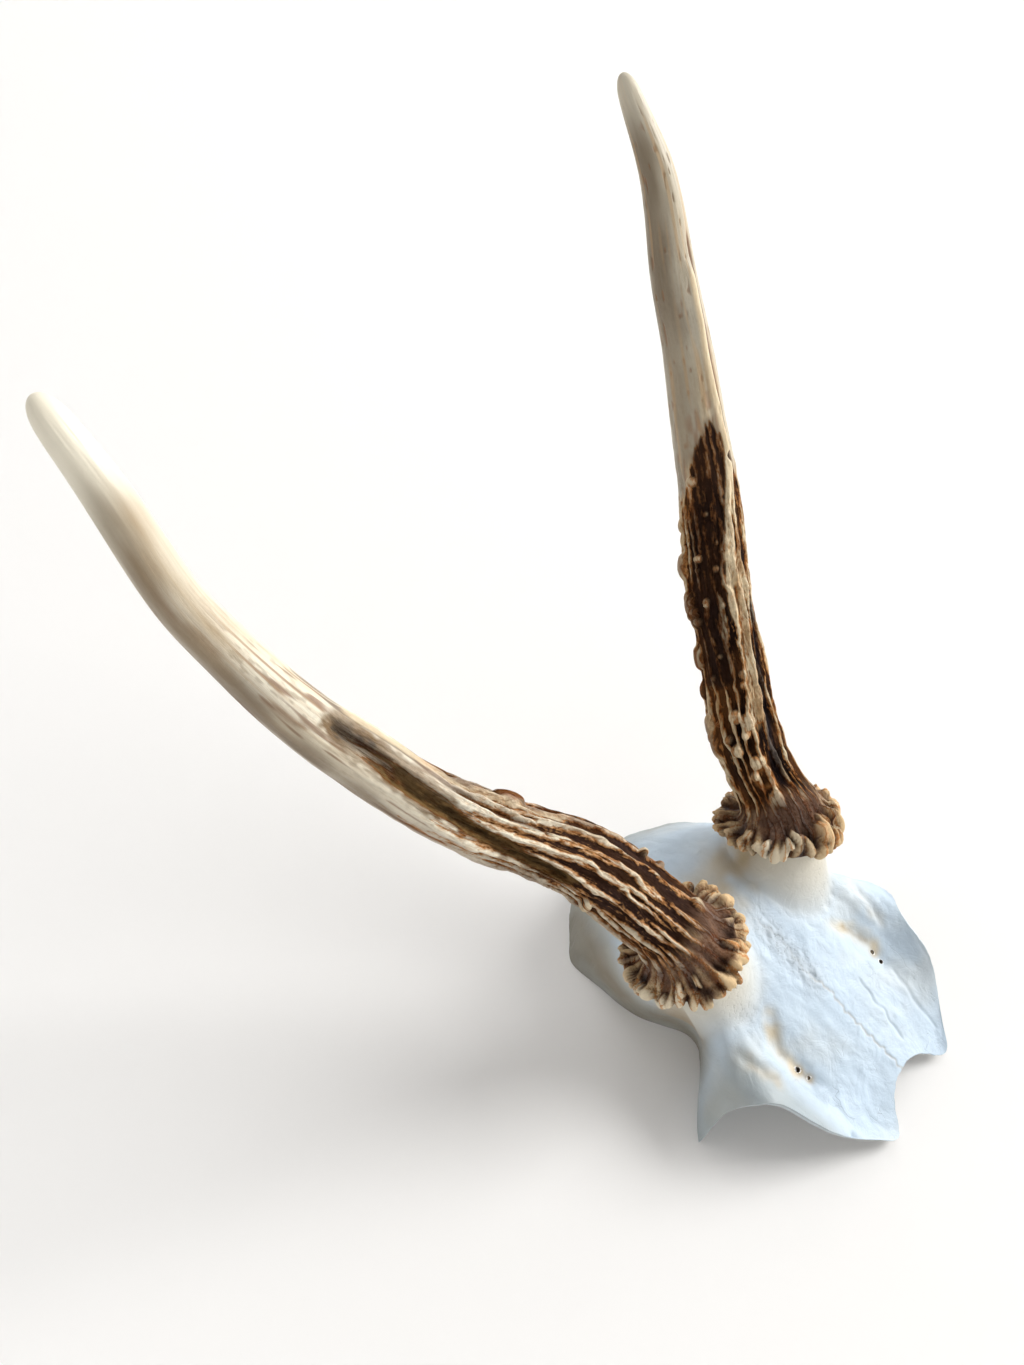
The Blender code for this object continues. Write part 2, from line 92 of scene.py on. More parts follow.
# Lines on the bone as (sideways, back) places on the left side; the marks also have width and height
BONE_MARKS = ((((17, 14), (21, 9), (22, 3), (21, -3)), 2.0, -0.75),
              (((31.5, 16), (30.5, 9), (29, 4)), 1.5, -0.55),
              (((26, 27), (30, 20), (34, 14)), 2.2, 0.45),
              (((20, 25), (24, 20), (26, 12)), 1.2, -0.30))
BONE_CUTS = (((10.5, 0.3), (8.9, -7.7), (7.5, -16.7)), ((20.5, -6), (18.9, -14), (17.5, -23)))
GUTTER_STAIN, SIDE_STAIN = ((17, 14), (21, 9), (22, 2)), ((31.5, 16), (29, 4))
RIGHT_STREAK, LEFT_STREAK = ((19.5, 12.5), (21.5, 6)), ((19.5, 11.5), (22.5, 4.5))
# Spots on the bone as (sideways, back) places, where negative is the right side
FRONT_DENT = (-24.8, -18.6)
STAINED_PITS = ((-20.9, -2.3), (-21.3, 0.9), (21.3, 0.9))
# Foramina: side, place on the left side, radius and depth; the shallow ones end blind
FORAMINA = ((1, (21.3, 0.9, 15.3), 0.9, 2.4), (1, (20.9, -2.3, 14.0), 0.75, 12.0),
            (-1, (21.3, 0.9, 15.3), 0.9, 12.0), (-1, (20.9, -2.3, 14.0), 0.7, 1.8))

# Seats of the antlers, left side
SEAT = np.array((23.6, 39.6, 39.8))
SEAT_NORMAL = np.array((0.216, 0.311, 0.925))
SEAT_NORMAL = SEAT_NORMAL / np.linalg.norm(SEAT_NORMAL)
SEAT_GAP = 0.3
PEDICLE_RADIUS = 11.0
PEDICLE_FOOT = 15.5
RAMP_HEIGHT, RAMP_WIDTH = 4.0, 11.0

# Antlers: path from the seat to the tip, and crest radius by distance
LEFT_PATH = ((27.2, 51.1, 52.8), (32.6, 63.1, 64.6), (40.2, 73.8, 75.1), (47.8, 84.7, 85.2),
             (56.2, 93.9, 95.9), (63.3, 103.1, 107.2), (69.0, 112.1, 119.1), (73.6, 120.3, 131.6),
             (76.9, 128.3, 144.1), (79.2, 134.8, 156.9), (80.5, 140.9, 169.4), (80.6, 148.9, 181.1),
             (80.8, 153.9, 187.9))
RIGHT_PATH = ((-27.4, 52.2, 53.6), (-34.0, 66.5, 68.3), (-43.0, 78.0, 79.0), (-52.4, 88.4, 89.6),
              (-59.5, 97.7, 100.4), (-65.0, 106.1, 111.4), (-70.0, 113.8, 121.9),
              (-73.7, 120.6, 132.2), (-76.6, 127.0, 142.2), (-79.0, 132.4, 152.2),
              (-79.7, 137.5, 162.2), (-80.0, 142.2, 171.7), (-80.4, 147.8, 179.6),
              (-80.8, 153.8, 187.4))
LEFT_RADII = ((10, 10.4), (18, 9.9), (30, 10.0), (45, 9.5), (60, 9.3), (76, 9.5), (88, 9.0),
              (100, 8.3), (115, 7.5), (135, 6.5), (155, 5.8), (170, 4.9), (180, 4.2), (191, 3.2),
              (200, 2.4))
RIGHT_RADII = ((12, 11.0), (25, 10.8), (40, 10.3), (57, 8.9), (75, 8.5), (91, 7.8), (106, 7.3),
               (120, 6.5), (145, 5.3), (165, 4.7), (180, 4.3), (191, 3.6), (200, 2.9))
ANTLER_SIDES = int(200 * FINE)
SHAFT_STEP = 0.43 / FINE
CORONET_STEP = 0.34 / FINE
TIP_LENGTH, TIP_END, TIP_RINGS = 9.0, 1.6, 14    # the tip rounds off over its last millimetres

# Coronet outline above the seat: height, radius, share of the bead relief
CORONET = ((0.0, 11.8, 0.0), (0.3, 13.4, 0.3), (0.9, 14.6, 0.8), (2.2, 15.3, 1.0), (3.9, 15.2, 1.0),
           (5.0, 14.5, 0.9), (5.6, 13.4, 0.7), (6.1, 12.4, 0.5), (7.0, 11.6, 0.3), (8.4, 11.1, 0.1))
CORONET_TOP = CORONET[-1][0]
BEADS = 33
BEAD_REACH = 2.7
SMALL_PEARLS = 54
RIM_RADIUS = 15.0
BULGE_WIDTH = 4.5 / 16               # radians
TUBE_RADIUS = 9.0                    # of the tube on which all antler noise lies

# Palette, linear
IVORY = np.array((0.80, 0.75, 0.62))
CREAM = np.array((0.68, 0.56, 0.37))
TAN = np.array((0.48, 0.30, 0.135))
ORANGE = np.array((0.44, 0.195, 0.06))
BROWN = np.array((0.105, 0.043, 0.014))
DARK = np.array((0.014, 0.007, 0.005))
SLATE = np.array((0.015, 0.012, 0.016))
PURPLE = np.array((0.250, 0.150, 0.105))
# Brown for painted shade on the antlers' shaded sides and edges, and for the near antler's flecks
SHADE_AND_FLECK_BROWN = np.array((0.27, 0.20, 0.12))
OLIVE = np.array((0.060, 0.036, 0.014))
BONE = np.array((0.525, 0.645, 0.770))
BONE_WARM = np.array((0.66, 0.585, 0.44))
BONE_STAIN = np.array((0.40, 0.31, 0.18))
HOLE_DARK, HOLE_LIGHT = (0.050, 0.036, 0.022), (0.16, 0.12, 0.075)
CREST_EDGE = (0.80, 0.46, 0.24)      # of the crest colour, along its edges
FIBRE_TINT = (0.84, 0.60, 0.40)      # of the surface colour, in the gaps between fibres
# Painted shade: the first tint darkens the braincase side walls and the near front slope, the second
# darkens the near side wall further
WALL_SHADE_TINT, NEAR_WALL_SHADE_TINT = (0.64, 0.585, 0.505), (0.72, 0.61, 0.50)


# Numbers: splines, steps and noise

def spline(knots, values, places):
    """Natural cubic spline through values at the knots, read off at the places."""
    knots = np.asarray(knots, float)
    values = np.asarray(values, float)
    count = len(knots)
    steps = np.diff(knots)
    slopes = np.diff(values, axis=0) / steps[:, None]
    matrix = np.eye(count)
    right = np.zeros_like(values)
    for i in range(1, count - 1):
        matrix[i, i - 1] = steps[i - 1]
        matrix[i, i] = 2 * (steps[i - 1] + steps[i])
        matrix[i, i + 1] = steps[i]
        right[i] = 6 * (slopes[i] - slopes[i - 1])
    bends = np.linalg.solve(matrix, right)
    span = np.clip(np.searchsorted(knots, places, side="right") - 1, 0, count - 2)
    before = (knots[span + 1] - places)[:, None]
    after = (places - knots[span])[:, None]
    step = steps[span][:, None]
    low, high = bends[span], bends[span + 1]
    return ((low * before ** 3 + high * after ** 3) / (6 * step)
            + (values[span] / step - low * step / 6) * before
            + (values[span + 1] / step - high * step / 6) * after)


def ramp(value, start, end):
    """0 up to the start, 1 from the end on, and an S-shaped rise between them."""
    share = np.clip((value - start) / (end - start), 0, 1)
    return share * share * (3 - 2 * share)


def lattice(x, y, z, seed):
    """A fixed random number from 0 to 1 for each whole-number place."""
    mixed = (x * 374761393 + y * 668265263 + z * 1442695041 + seed * 974634777) & 0xFFFFFFFF
    mixed = ((mixed ^ (mixed >> 13)) * 1274126177) & 0xFFFFFFFF
    return (mixed ^ (mixed >> 16)) / 0xFFFFFFFF


def noise(places, seed=0):
    """Smooth noise from -1 to 1, with cells one unit wide."""
    cell = np.floor(places).astype(np.int64)
    part = places - cell
    part = part * part * (3 - 2 * part)
    total = np.zeros(places.shape[:-1])
    for dx in (0, 1):
        for dy in (0, 1):
            for dz in (0, 1):
                weight = (np.abs(1 - dx - part[..., 0]) * np.abs(1 - dy - part[..., 1])
                          * np.abs(1 - dz - part[..., 2]))
                total += weight * lattice(cell[..., 0] + dx, cell[..., 1] + dy,
                                          cell[..., 2] + dz, seed)
    return total * 2 - 1


def fractal(places, seed=0, octaves=3):
    """Layers of noise, each half as large and half as strong."""
    total, strength = 0, 1.0
    for layer in range(octaves):
        total = total + strength * noise(places * 2 ** layer, seed + layer * 17)
        strength *= 0.5
    return total / (2 - 2 ** (1 - octaves))


def mix(first, second, share):
    """Colours between first and second; share may differ from point to point."""
    share = np.clip(share, 0, 1)[..., None]
    return first * (1 - share) + second * share


# Meshes

def to_world(points):
    return (np.asarray(points, float) - (0, ORIGIN_Y, 0)) * MM


def add_object(name, data):
    thing = bpy.data.objects.new(name, data)
    bpy.context.scene.collection.objects.link(thing)
    return thing


def make_mesh(name, points, faces, colours, values, grain):
    """One smooth mesh from guide points, with colours, values and a grain place at each."""
    mesh = bpy.data.meshes.new(name)
    mesh.from_pydata(to_world(points).tolist(), [], faces)
    for label, colour in colours.items():
        layer = mesh.attributes.new(label, "FLOAT_COLOR", "POINT")
        rgba = np.ones((len(colour), 4), np.float32)
        rgba[:, :3] = colour
        layer.data.foreach_set("color", rgba.ravel())
    for label, value in values.items():
        layer = mesh.attributes.new(label, "FLOAT", "POINT")
        layer.data.foreach_set("value", np.asarray(value, np.float32))
    layer = mesh.attributes.new("grain", "FLOAT_VECTOR", "POINT")
    layer.data.foreach_set("vector", np.asarray(grain, np.float32).ravel())
    mesh.shade_smooth()
    return add_object(name, mesh)


def grid_faces(rows, columns, start=0, flip=False):
    """Quads of an open grid of points."""
    i, j = np.meshgrid(np.arange(rows - 1), np.arange(columns - 1), indexing="ij")
    a = start + i * columns + j
    quads = np.stack([a, a + 1, a + columns + 1, a + columns], axis=-1).reshape(-1, 4)
    return (quads[:, ::-1] if flip else quads).tolist()


def tube_faces(rings, sides):
    """Quads between closed rings of points."""
    i, j = np.meshgrid(np.arange(rings - 1), np.arange(sides), indexing="ij")
    k = (j + 1) % sides
    quads = np.stack([i * sides + j, i * sides + k, (i + 1) * sides + k, (i + 1) * sides + j], -1)
    return quads.reshape(-1, 4).tolist()


# Materials

class Nodes:
    """Short ways to add and join shader nodes."""

    def __init__(self, name):
        self.material = bpy.data.materials.new(name)
        self.material.use_nodes = True
        self.tree = self.material.node_tree
        self.shader = self.tree.nodes["Principled BSDF"]

    def link(self, source, target):
        self.tree.links.new(source, target)

    def drive(self, label, source):
        """Lets a source set one of the shader's inputs."""
        self.link(source, self.shader.inputs[label])

    def attribute(self, name, output):
        node = self.tree.nodes.new("ShaderNodeAttribute")
        node.attribute_name = name
        return node.outputs[output]

    def noise(self, place, scale, detail, distortion=0.0):
        node = self.tree.nodes.new("ShaderNodeTexNoise")
        node.inputs["Scale"].default_value = scale
        node.inputs["Detail"].default_value = detail
        node.inputs["Distortion"].default_value = distortion
        self.link(place, node.inputs["Vector"])
        return node.outputs["Fac"]

    def spread(self, value, low, high, to_low=0.0, to_high=1.0):
        node = self.tree.nodes.new("ShaderNodeMapRange")
        for label, number in (("From Min", low), ("From Max", high),
                              ("To Min", to_low), ("To Max", to_high)):
            node.inputs[label].default_value = number
        self.link(value, node.inputs["Value"])
        return node.outputs["Result"]

    def math(self, operation, first, second):
        node = self.tree.nodes.new("ShaderNodeMath")
        node.operation = operation
        for socket, value in zip(node.inputs, (first, second)):
            if isinstance(value, float):
                socket.default_value = value
            else:
                self.link(value, socket)
        return node.outputs[0]

    def times(self, colour, value):
        node = self.tree.nodes.new("ShaderNodeVectorMath")
        node.operation = "SCALE"
        self.link(colour, node.inputs[0])
        self.link(value, node.inputs["Scale"])
        return node.outputs["Vector"]

    def multiply(self, colour, factors):
        node = self.tree.nodes.new("ShaderNodeVectorMath")
        node.operation = "MULTIPLY"
        self.link(colour, node.inputs[0])
        node.inputs[1].default_value = factors
        return node.outputs["Vector"]

    def blend(self, first, second, share):
        node = self.tree.nodes.new("ShaderNodeMix")
        node.data_type = "RGBA"
        self.link(share, node.inputs["Factor"])
        for index, value in ((6, first), (7, second)):
            if isinstance(value, tuple):
                node.inputs[index].default_value = (*value, 1)
            else:
                self.link(value, node.inputs[index])
        return node.outputs[2]

    def bump(self, height, depth_mm, strength=1.0, under=None):
        node = self.tree.nodes.new("ShaderNodeBump")
        node.inputs["Strength"].default_value = strength
        node.inputs["Distance"].default_value = depth_mm * MM
        self.link(height, node.inputs["Height"])
        if under is not None:
            self.link(under, node.inputs["Normal"])
        return node.outputs["Normal"]

    def place(self):
        return self.tree.nodes.new("ShaderNodeTexCoord").outputs["Object"]


def antler_material(name):
    """Groove, edge and crest colours parted along the relief, broken by lengthwise fibres."""
    n = Nodes(name)
    grain = n.attribute("grain", "Vector")
    low, high = n.attribute("low", "Color"), n.attribute("high", "Color")
    crest, rough = n.attribute("crest", "Fac"), n.attribute("rough", "Fac")
    fibre = n.noise(grain, 1.7, 6, 0.7)
    thread = n.noise(grain, 5.0, 4, 0.3)
    crumb = n.noise(n.place(), 1100, 4)
    level = n.math("ADD", crest, n.spread(fibre, 0.3, 0.7, -0.16, 0.16))
    level = n.math("ADD", level, n.spread(crumb, 0.3, 0.7, -0.05, 0.05))
    edge = n.multiply(high, CREST_EDGE)
    colour = n.blend(low, edge, n.spread(level, 0.16, 0.34))
    colour = n.blend(colour, high, n.spread(level, 0.34, 0.54))
    deep = n.multiply(n.times(colour, n.spread(thread, 0.35, 0.65, 0.48, 0.95)), FIBRE_TINT)
    light = n.spread(fibre, 0.34, 0.54)
    colour = n.blend(colour, deep, n.math("MULTIPLY", rough, n.math("SUBTRACT", 1.0, light)))
    spark = n.math("MULTIPLY", rough, n.math("SUBTRACT", crumb, 0.5))
    colour = n.times(colour, n.math("ADD", n.math("MULTIPLY", spark, 0.9), 1.0))
    n.drive("Base Color", colour)
    gloss = n.math("ADD", n.spread(level, 0.0, 1.0, 0.82, 0.44), n.spread(thread, 0.3, 0.7, -0.08, 0.08))
    n.drive("Roughness", gloss)
    normal = n.bump(n.math("MULTIPLY", fibre, rough), 0.9, 0.8)
    normal = n.bump(n.math("MULTIPLY", crumb, n.math("ADD", rough, 0.15)), 0.35, 0.7, normal)
    normal = n.bump(n.math("MULTIPLY", n.spread(level, 0.15, 0.55), rough), 0.5, 0.8, normal)
    n.drive("Normal", normal)
    n.drive("Specular IOR Level", n.spread(level, 0.25, 0.75, 0.04, 0.45))
    return n.material


def bone_material(name):
    """Bleached bone: the tint with soft clouds, hairline cracks, pores and a dull gloss."""
    n = Nodes(name)
    place, tint = n.place(), n.attribute("tint", "Color")
    porous, crack = n.attribute("porous", "Fac"), n.attribute("crack", "Fac")
    cloud = n.noise(place, 160, 5, 0.8)
    grit = n.noise(place, 1600, 4)
    pore = n.spread(n.noise(place, 900, 3), 0.32, 0.46)
    cells = n.tree.nodes.new("ShaderNodeTexVoronoi")
    cells.feature = "DISTANCE_TO_EDGE"
    cells.inputs["Scale"].default_value = 1.0
    n.link(n.attribute("grain", "Vector"), cells.inputs["Vector"])
    line = n.spread(cells.outputs["Distance"], 0.0, 0.016, 1.0, 0.0)
    line = n.math("MULTIPLY", line, crack)
    pits = n.math("MULTIPLY", n.math("SUBTRACT", 1.0, pore), n.math("ADD", porous, 0.12))
    colour = n.times(tint, n.spread(cloud, 0.3, 0.7, 0.965, 1.03))
    colour = n.times(colour, n.spread(pits, 0.0, 1.0, 1.0, 0.90))
    colour = n.times(colour, n.spread(line, 0.0, 1.0, 1.0, 0.80))
    n.drive("Base Color", colour)
    n.drive("Roughness", n.spread(n.math("ADD", grit, porous), 0.3, 1.4, 0.44, 0.66))
    normal = n.bump(cloud, 0.9, 0.6)
    normal = n.bump(grit, 0.10, 0.5, normal)
    depth = n.math("MAXIMUM", pits, line)
    normal = n.bump(n.math("SUBTRACT", 1.0, depth), 0.16, 0.7, normal)
    n.drive("Normal", normal)
    n.shader.inputs["Specular IOR Level"].default_value = 0.38
    return n.material


def foramen_material(name):
    """Stained spongy bone in the walls of the small holes."""
    n = Nodes(name)
    grit = n.noise(n.place(), 1500, 4)
    n.drive("Base Color", n.blend(HOLE_DARK, HOLE_LIGHT, n.spread(grit, 0.3, 0.7)))
    n.drive("Normal", n.bump(grit, 0.2, 0.8))
    n.shader.inputs["Roughness"].default_value = 0.85
    return n.material


# Skull plate

def plate_places():
    """Arc-length places of the fine grid, and the same places counted in sections."""
    half = np.array(SECTIONS, float)
    full = np.concatenate([half[:, :0:-1] * (-1, 1, 1), half], axis=1)
    across = np.linalg.norm(np.diff(full, axis=1), axis=2).mean(axis=0)
    across = np.concatenate([[0], np.cumsum(across)])
    along = np.linalg.norm(np.diff(full, axis=0), axis=2).mean(axis=1)
    along = np.concatenate([[0], np.cumsum(along)])
    middle = across[-1] / 2
    t = np.linspace(-1, 1, 2 * PLATE_COLUMNS + 1)
    across_places = middle * (1 + MIDLINE_DENSITY * t + (1 - MIDLINE_DENSITY) * t ** 3)
    across_places = np.clip(across_places, 0, across[-1])
    along_places = np.linspace(0, along[-1], PLATE_ROWS)
    lines = np.array([spline(across, row, across_places) for row in full])
    grid = spline(along, lines.reshape(len(lines), -1), along_places)
    grid = grid.reshape(len(along_places), len(across_places), 3)
    section = np.interp(along_places, along, np.arange(len(along)))
    column = np.abs(np.interp(across_places, across, np.arange(len(across))) - (len(across) - 1) / 2)
    return grid, section, column


def grid_normals(grid):
    down = np.gradient(grid, axis=0)
    over = np.gradient(grid, axis=1)
    normal = np.cross(over, down)
    return normal / np.linalg.norm(normal, axis=2)[:, :, None]


def seat_distance(grid, side):
    """Height above one antler's seat plane and distance from its axis."""
    mirror = np.array((side, 1, 1))
    away = grid - SEAT * mirror
    height = away @ (SEAT_NORMAL * mirror)
    radius = np.linalg.norm(away - height[..., None] * SEAT_NORMAL * mirror, axis=-1)
    return height, radius


def from_border(section, column):
    """How far each grid point is from the front and side borders, counted in sections."""
    return np.minimum(len(SECTIONS[0]) - 1 - column[None, :], section[:, None])


def bone_thickness(grid, section, column):
    side, back = np.abs(grid[..., 0]), grid[..., 1]
    cap = BONE_LOBE + (BONE_CAP - BONE_LOBE) * ramp(back, -5, 24)
    forehead = BONE_FOREHEAD * np.exp(-(side / 12) ** 2 - ((back - 14) / 16) ** 2)
    pedicle = BONE_PEDICLE * np.exp(-(np.hypot(side - 21, back - 37) / 13) ** 2)
    thin = ramp(side, 32, 42) * (1 - ramp(back, 14, 26))
    thickness = (cap + forehead + pedicle) * (1 - thin) + BONE_TIP * thin
    free = 1 - ramp(back, 10, 20)
    taper = (1 - RIM_SHARE) * (1 - ramp(from_border(section, column), 0, 2)) * free
    return thickness * (1 - taper)


def suture_x(back):
    """Sideways wander of the midline suture."""
    return (0.30 * np.sin(back * 1.7) + 0.20 * np.sin(back * 3.1 + 1.0)
            + 0.8 * np.sin(back * 0.33 + 0.4) * ramp(back, -4, 8))


def spot(side, back, place, size):
    """A soft spot round one place on the plate, seen from above."""
    return np.exp(-((side - place[0]) / size[0]) ** 2 - ((back - place[1]) / size[1]) ** 2)


def furrow(side, back, line, width):
    """1 along a line of plate places, falling off over that width."""
    nearest = np.full(side.shape, 1e9)
    for (x0, y0), (x1, y1) in zip(line[:-1], line[1:]):
        length = (x1 - x0) ** 2 + (y1 - y0) ** 2
        share = np.clip(((side - x0) * (x1 - x0) + (back - y0) * (y1 - y0)) / length, 0, 1)
        nearest = np.minimum(nearest, np.hypot(side - x0 - share * (x1 - x0),
                                               back - y0 - share * (y1 - y0)))
    return np.exp(-(nearest / width) ** 2)


def plate_relief(grid):
    """Heights in mm to add to the smooth outside, and masks used for colour."""
    side, back = grid[..., 0], grid[..., 1]
    bent = side + 0.8 * noise(grid / 3.0, 61)
    front = 1 - ramp(back, 6, 14)
    band = ramp(back, 4, 12) * (1 - ramp(back, 26, 33))
    line = np.exp(-((side - suture_x(back)) / 0.40) ** 2)
    suture = line * (0.17 * front + 0.07 * (1 - front)) * (1 - ramp(back, 36, 42))
    porous = band * np.exp(-((side + 0.6) / 3.6) ** 2)
    for sign in (-1, 1):
        porous = np.maximum(porous, 0.7 * spot(side, back, (22 * sign, 22), (6, 6)))
    lumps = porous * (0.55 * fractal(grid / 1.8, 5, 3) - 0.35 * np.clip(noise(grid / 0.9, 3), 0, 1))
    relief = (0.26 * fractal(grid / 8.0, 8, 2) + 0.14 * noise(grid / (2.2, 6.0, 2.2), 9)
              + 0.05 * noise(grid / 0.9, 10) + lumps - suture)
    for sign in (1, -1):
        for mark, width, height in BONE_MARKS:
            relief = relief + height * furrow(bent * sign, back, mark, width)
    for cut in BONE_CUTS:
        relief = relief - 0.30 * furrow(bent, back, cut, 0.5)
    relief = relief - 0.8 * spot(side, back, FRONT_DENT, (0.9, 0.9))
    return relief, line * (front * 0.8 + 0.2), porous


def plate_shape():
    """Outside and inside of the plate, its normals, and the masks of suture and porous bone."""
    grid, section, column = plate_places()
    for side in (1, -1):
        _, radius = seat_distance(grid, side)
        rise = RAMP_HEIGHT * np.exp(-(radius / RAMP_WIDTH) ** 2) * ramp(grid[..., 2], 4, 24)
        grid = grid + rise[..., None] * (SEAT_NORMAL * (side, 1, 1))
    rows, columns = section.size, column.size
    steady = np.ix_(np.clip(np.arange(rows), EDGE_CELLS, rows - 1),
                    np.clip(np.arange(columns), EDGE_CELLS, columns - 1 - EDGE_CELLS))
    normal = grid_normals(grid)[steady]
    inner = grid - normal * bone_thickness(grid, section, column)[..., None]
    relief, suture, porous = plate_relief(grid)
    edge = ramp(from_border(section, column), 0.0, 0.35)
    outer = grid + normal * (relief * edge)[..., None]
    for side in (1, -1):
        height, radius = seat_distance(outer, side)
        share = 1 - ramp(radius, PEDICLE_RADIUS, PEDICLE_FOOT) ** 0.6
        share = np.where(grid[..., 2] > 14, share, 0)
        lift = np.maximum(-SEAT_GAP - height, 0) * share
        outer = outer + lift[..., None] * (SEAT_NORMAL * (side, 1, 1))
    return outer, inner, normal, suture, porous


def plate_tint(outer, suture, porous):
    """Bluish white bone with cream stains round the pedicles, gutters and suture. The side walls and the
    near front slope get painted shade.
    """
    side, back, up = outer[..., 0], outer[..., 1], outer[..., 2]
    cloud = fractal(outer / 14, 21, 3)
    colour = mix(BONE, BONE * (1.07, 1.04, 1.0), 0.5 + cloud)
    patchy = 0.75 + 0.6 * noise(outer / 3.5, 31)
    warm = 0.18 * ramp(cloud, 0.0, 0.6)
    for sign in (1, -1):
        _, radius = seat_distance(outer, sign)
        ring = np.clip(np.exp(-((radius - 11.5) / 3.6) ** 2) + (radius < 11.5), 0, 1)
        warm = np.maximum(warm, 0.8 * ring * (up > 12))
        bent = side * sign + 0.9 * noise(outer / 2.5, 63)
        warm = np.maximum(warm, 0.95 * furrow(bent, back, GUTTER_STAIN, 2.3) * patchy)
        warm = np.maximum(warm, 0.5 * furrow(bent, back, SIDE_STAIN, 2.0) * patchy)
    warm = np.maximum(warm, 0.95 * spot(side, back, (4, 43), (15, 9)) * patchy)
    colour = mix(colour, BONE_WARM, warm)
    stain = 0.9 * spot(side, back, (7.5, 43), (6.0, 5.5)) + 0.6 * spot(side, back, (-6, 44), (4.5, 5.0))
    stain = stain + 0.45 * furrow(-side, back, RIGHT_STREAK, 1.5)
    stain = stain + 0.8 * furrow(side + 0.5 * noise(outer / 1.5, 64), back, LEFT_STREAK, 0.7)
    stain = stain + sum(spot(side, back, pit, (1.3, 1.3)) for pit in STAINED_PITS)
    colour = mix(colour, BONE_STAIN, np.clip(stain * patchy, 0, 0.85))
    colour = mix(colour, BONE_STAIN, 0.36 * suture * (back < 32) + 0.18 * porous)
    # Painted shade: the lower side walls of the braincase and the near front slope are darkened, the near
    # wall most
    wall = (1 - ramp(up, 6, 26)) * ramp(back, 15, 24) * (0.85 + 0.3 * noise(outer / 9, 37))
    near_slope_shade = 0.8 * ramp(-side, 23, 31) * (1 - ramp(back, 13, 22))
    colour = mix(colour, colour * WALL_SHADE_TINT, np.maximum(wall, near_slope_shade))
    colour = mix(colour, colour * NEAR_WALL_SHADE_TINT, wall * ramp(-side, 8, 22))
    return colour * (1 + 0.025 * noise(outer / 2.2, 35)[..., None])


def border_places(rows, columns):
    """Rows and columns of the border points, once round."""
    border = ([(0, j) for j in range(columns - 1)]
              + [(i, columns - 1) for i in range(rows - 1)]
              + [(rows - 1, j) for j in range(columns - 1, 0, -1)]
              + [(i, 0) for i in range(rows - 1, 0, -1)])
    return tuple(np.array(border).T)


def chip_border(outer, inner, at):
    """Moves the border in and out a little, and returns which way is outwards along it."""
    rows, columns = outer.shape[:2]
    inside = (np.clip(at[0], 3, rows - 4), np.clip(at[1], 3, columns - 4))
    chip = outer[at] - outer[inside]
    chip *= (0.32 * fractal(outer[at] / 1.4, 71, 3) / np.linalg.norm(chip, axis=1))[:, None]
    from_corner = np.minimum(at[0], rows - 1 - at[0]) + np.minimum(at[1], columns - 1 - at[1])
    chip *= ramp(from_corner, 3, 14)[:, None]
    outer[at] += chip
    inner[at] += chip
    away = outer[at] - outer[inside]
    return away / np.linalg.norm(away, axis=1)[:, None]


def rim_faces(border, inner_start):
    """Two rows of quads from the outside over the rim's middle line to the inside."""
    faces = []
    for n, a in enumerate(border):
        m = (n + 1) % len(border)
        b = border[m]
        middle, after = 2 * inner_start + n, 2 * inner_start + m
        faces.append((a, middle, after, b))
        faces.append((middle, inner_start + a, inner_start + b, after))
    return faces


def make_plate():
    outer, inner, normal, suture, porous = plate_shape()
    rows, columns = outer.shape[:2]
    at = border_places(rows, columns)
    away = chip_border(outer, inner, at)
    rim_out, rim_in = outer[at], inner[at]
    thick = np.linalg.norm(rim_out - rim_in, axis=1)[:, None]
    middle = (rim_out + rim_in) / 2 + away * thick * EDGE_BULGE
    rough_inner = inner + normal * (0.20 * fractal(inner / 4, 41, 3))[..., None]
    rough_inner[at] = rim_in
    points = np.concatenate([outer.reshape(-1, 3), rough_inner.reshape(-1, 3), middle])
    faces = grid_faces(rows, columns) + grid_faces(rows, columns, rows * columns, flip=True)
    faces += rim_faces((at[0] * columns + at[1]).tolist(), rows * columns)
    inside_tint = mix(BONE, BONE_WARM, 0.45 + 0.5 * fractal(inner / 6, 43, 2)) * 0.93
    rim_tint = mix(BONE, BONE_WARM, np.full(len(middle), 0.3))
    tint = np.concatenate([plate_tint(outer, suture, porous).reshape(-1, 3),
                           inside_tint.reshape(-1, 3), rim_tint])
    pores = np.full(len(points), 0.3)
    pores[:porous.size] = porous.ravel()
    cracks = np.full(len(points), 0.2)
    side, back = outer[..., 0].ravel(), outer[..., 1].ravel()
    cracks[:porous.size] = (0.8 * (1 - ramp(back, -4, 6)) * ramp(np.abs(side), 3, 8)
                            * ramp(noise(points[:porous.size] / 5, 67), 0.0, 0.4))
    grain = points / (4.0, 13.0, 5.0) + 0.25 * noise(points / 2.0, 65)[:, None]
    plate = make_mesh("bone_plate", points, faces, {"tint": tint},
                      {"porous": pores, "crack": cracks}, grain)
    saw_flat(plate)
    return plate


def saw_flat(plate):
    """Cuts off what lies below the saw cut and closes the cut."""
    solid = bmesh.new()
    solid.from_mesh(plate.data)
    everything = solid.verts[:] + solid.edges[:] + solid.faces[:]
    bmesh.ops.bisect_plane(solid, geom=everything, plane_co=(0, 0, 0), plane_no=(0, 0, 1),
                           clear_inner=True)
    open_edges = [edge for edge in solid.edges if edge.is_boundary]
    bmesh.ops.triangle_fill(solid, edges=open_edges, use_beauty=True, normal=(0, 0, -1))
    bmesh.ops.recalc_face_normals(solid, faces=solid.faces)
    solid.to_mesh(plate.data)
    solid.free()
    plate.data.set_sharp_from_angle(angle=math.radians(60))


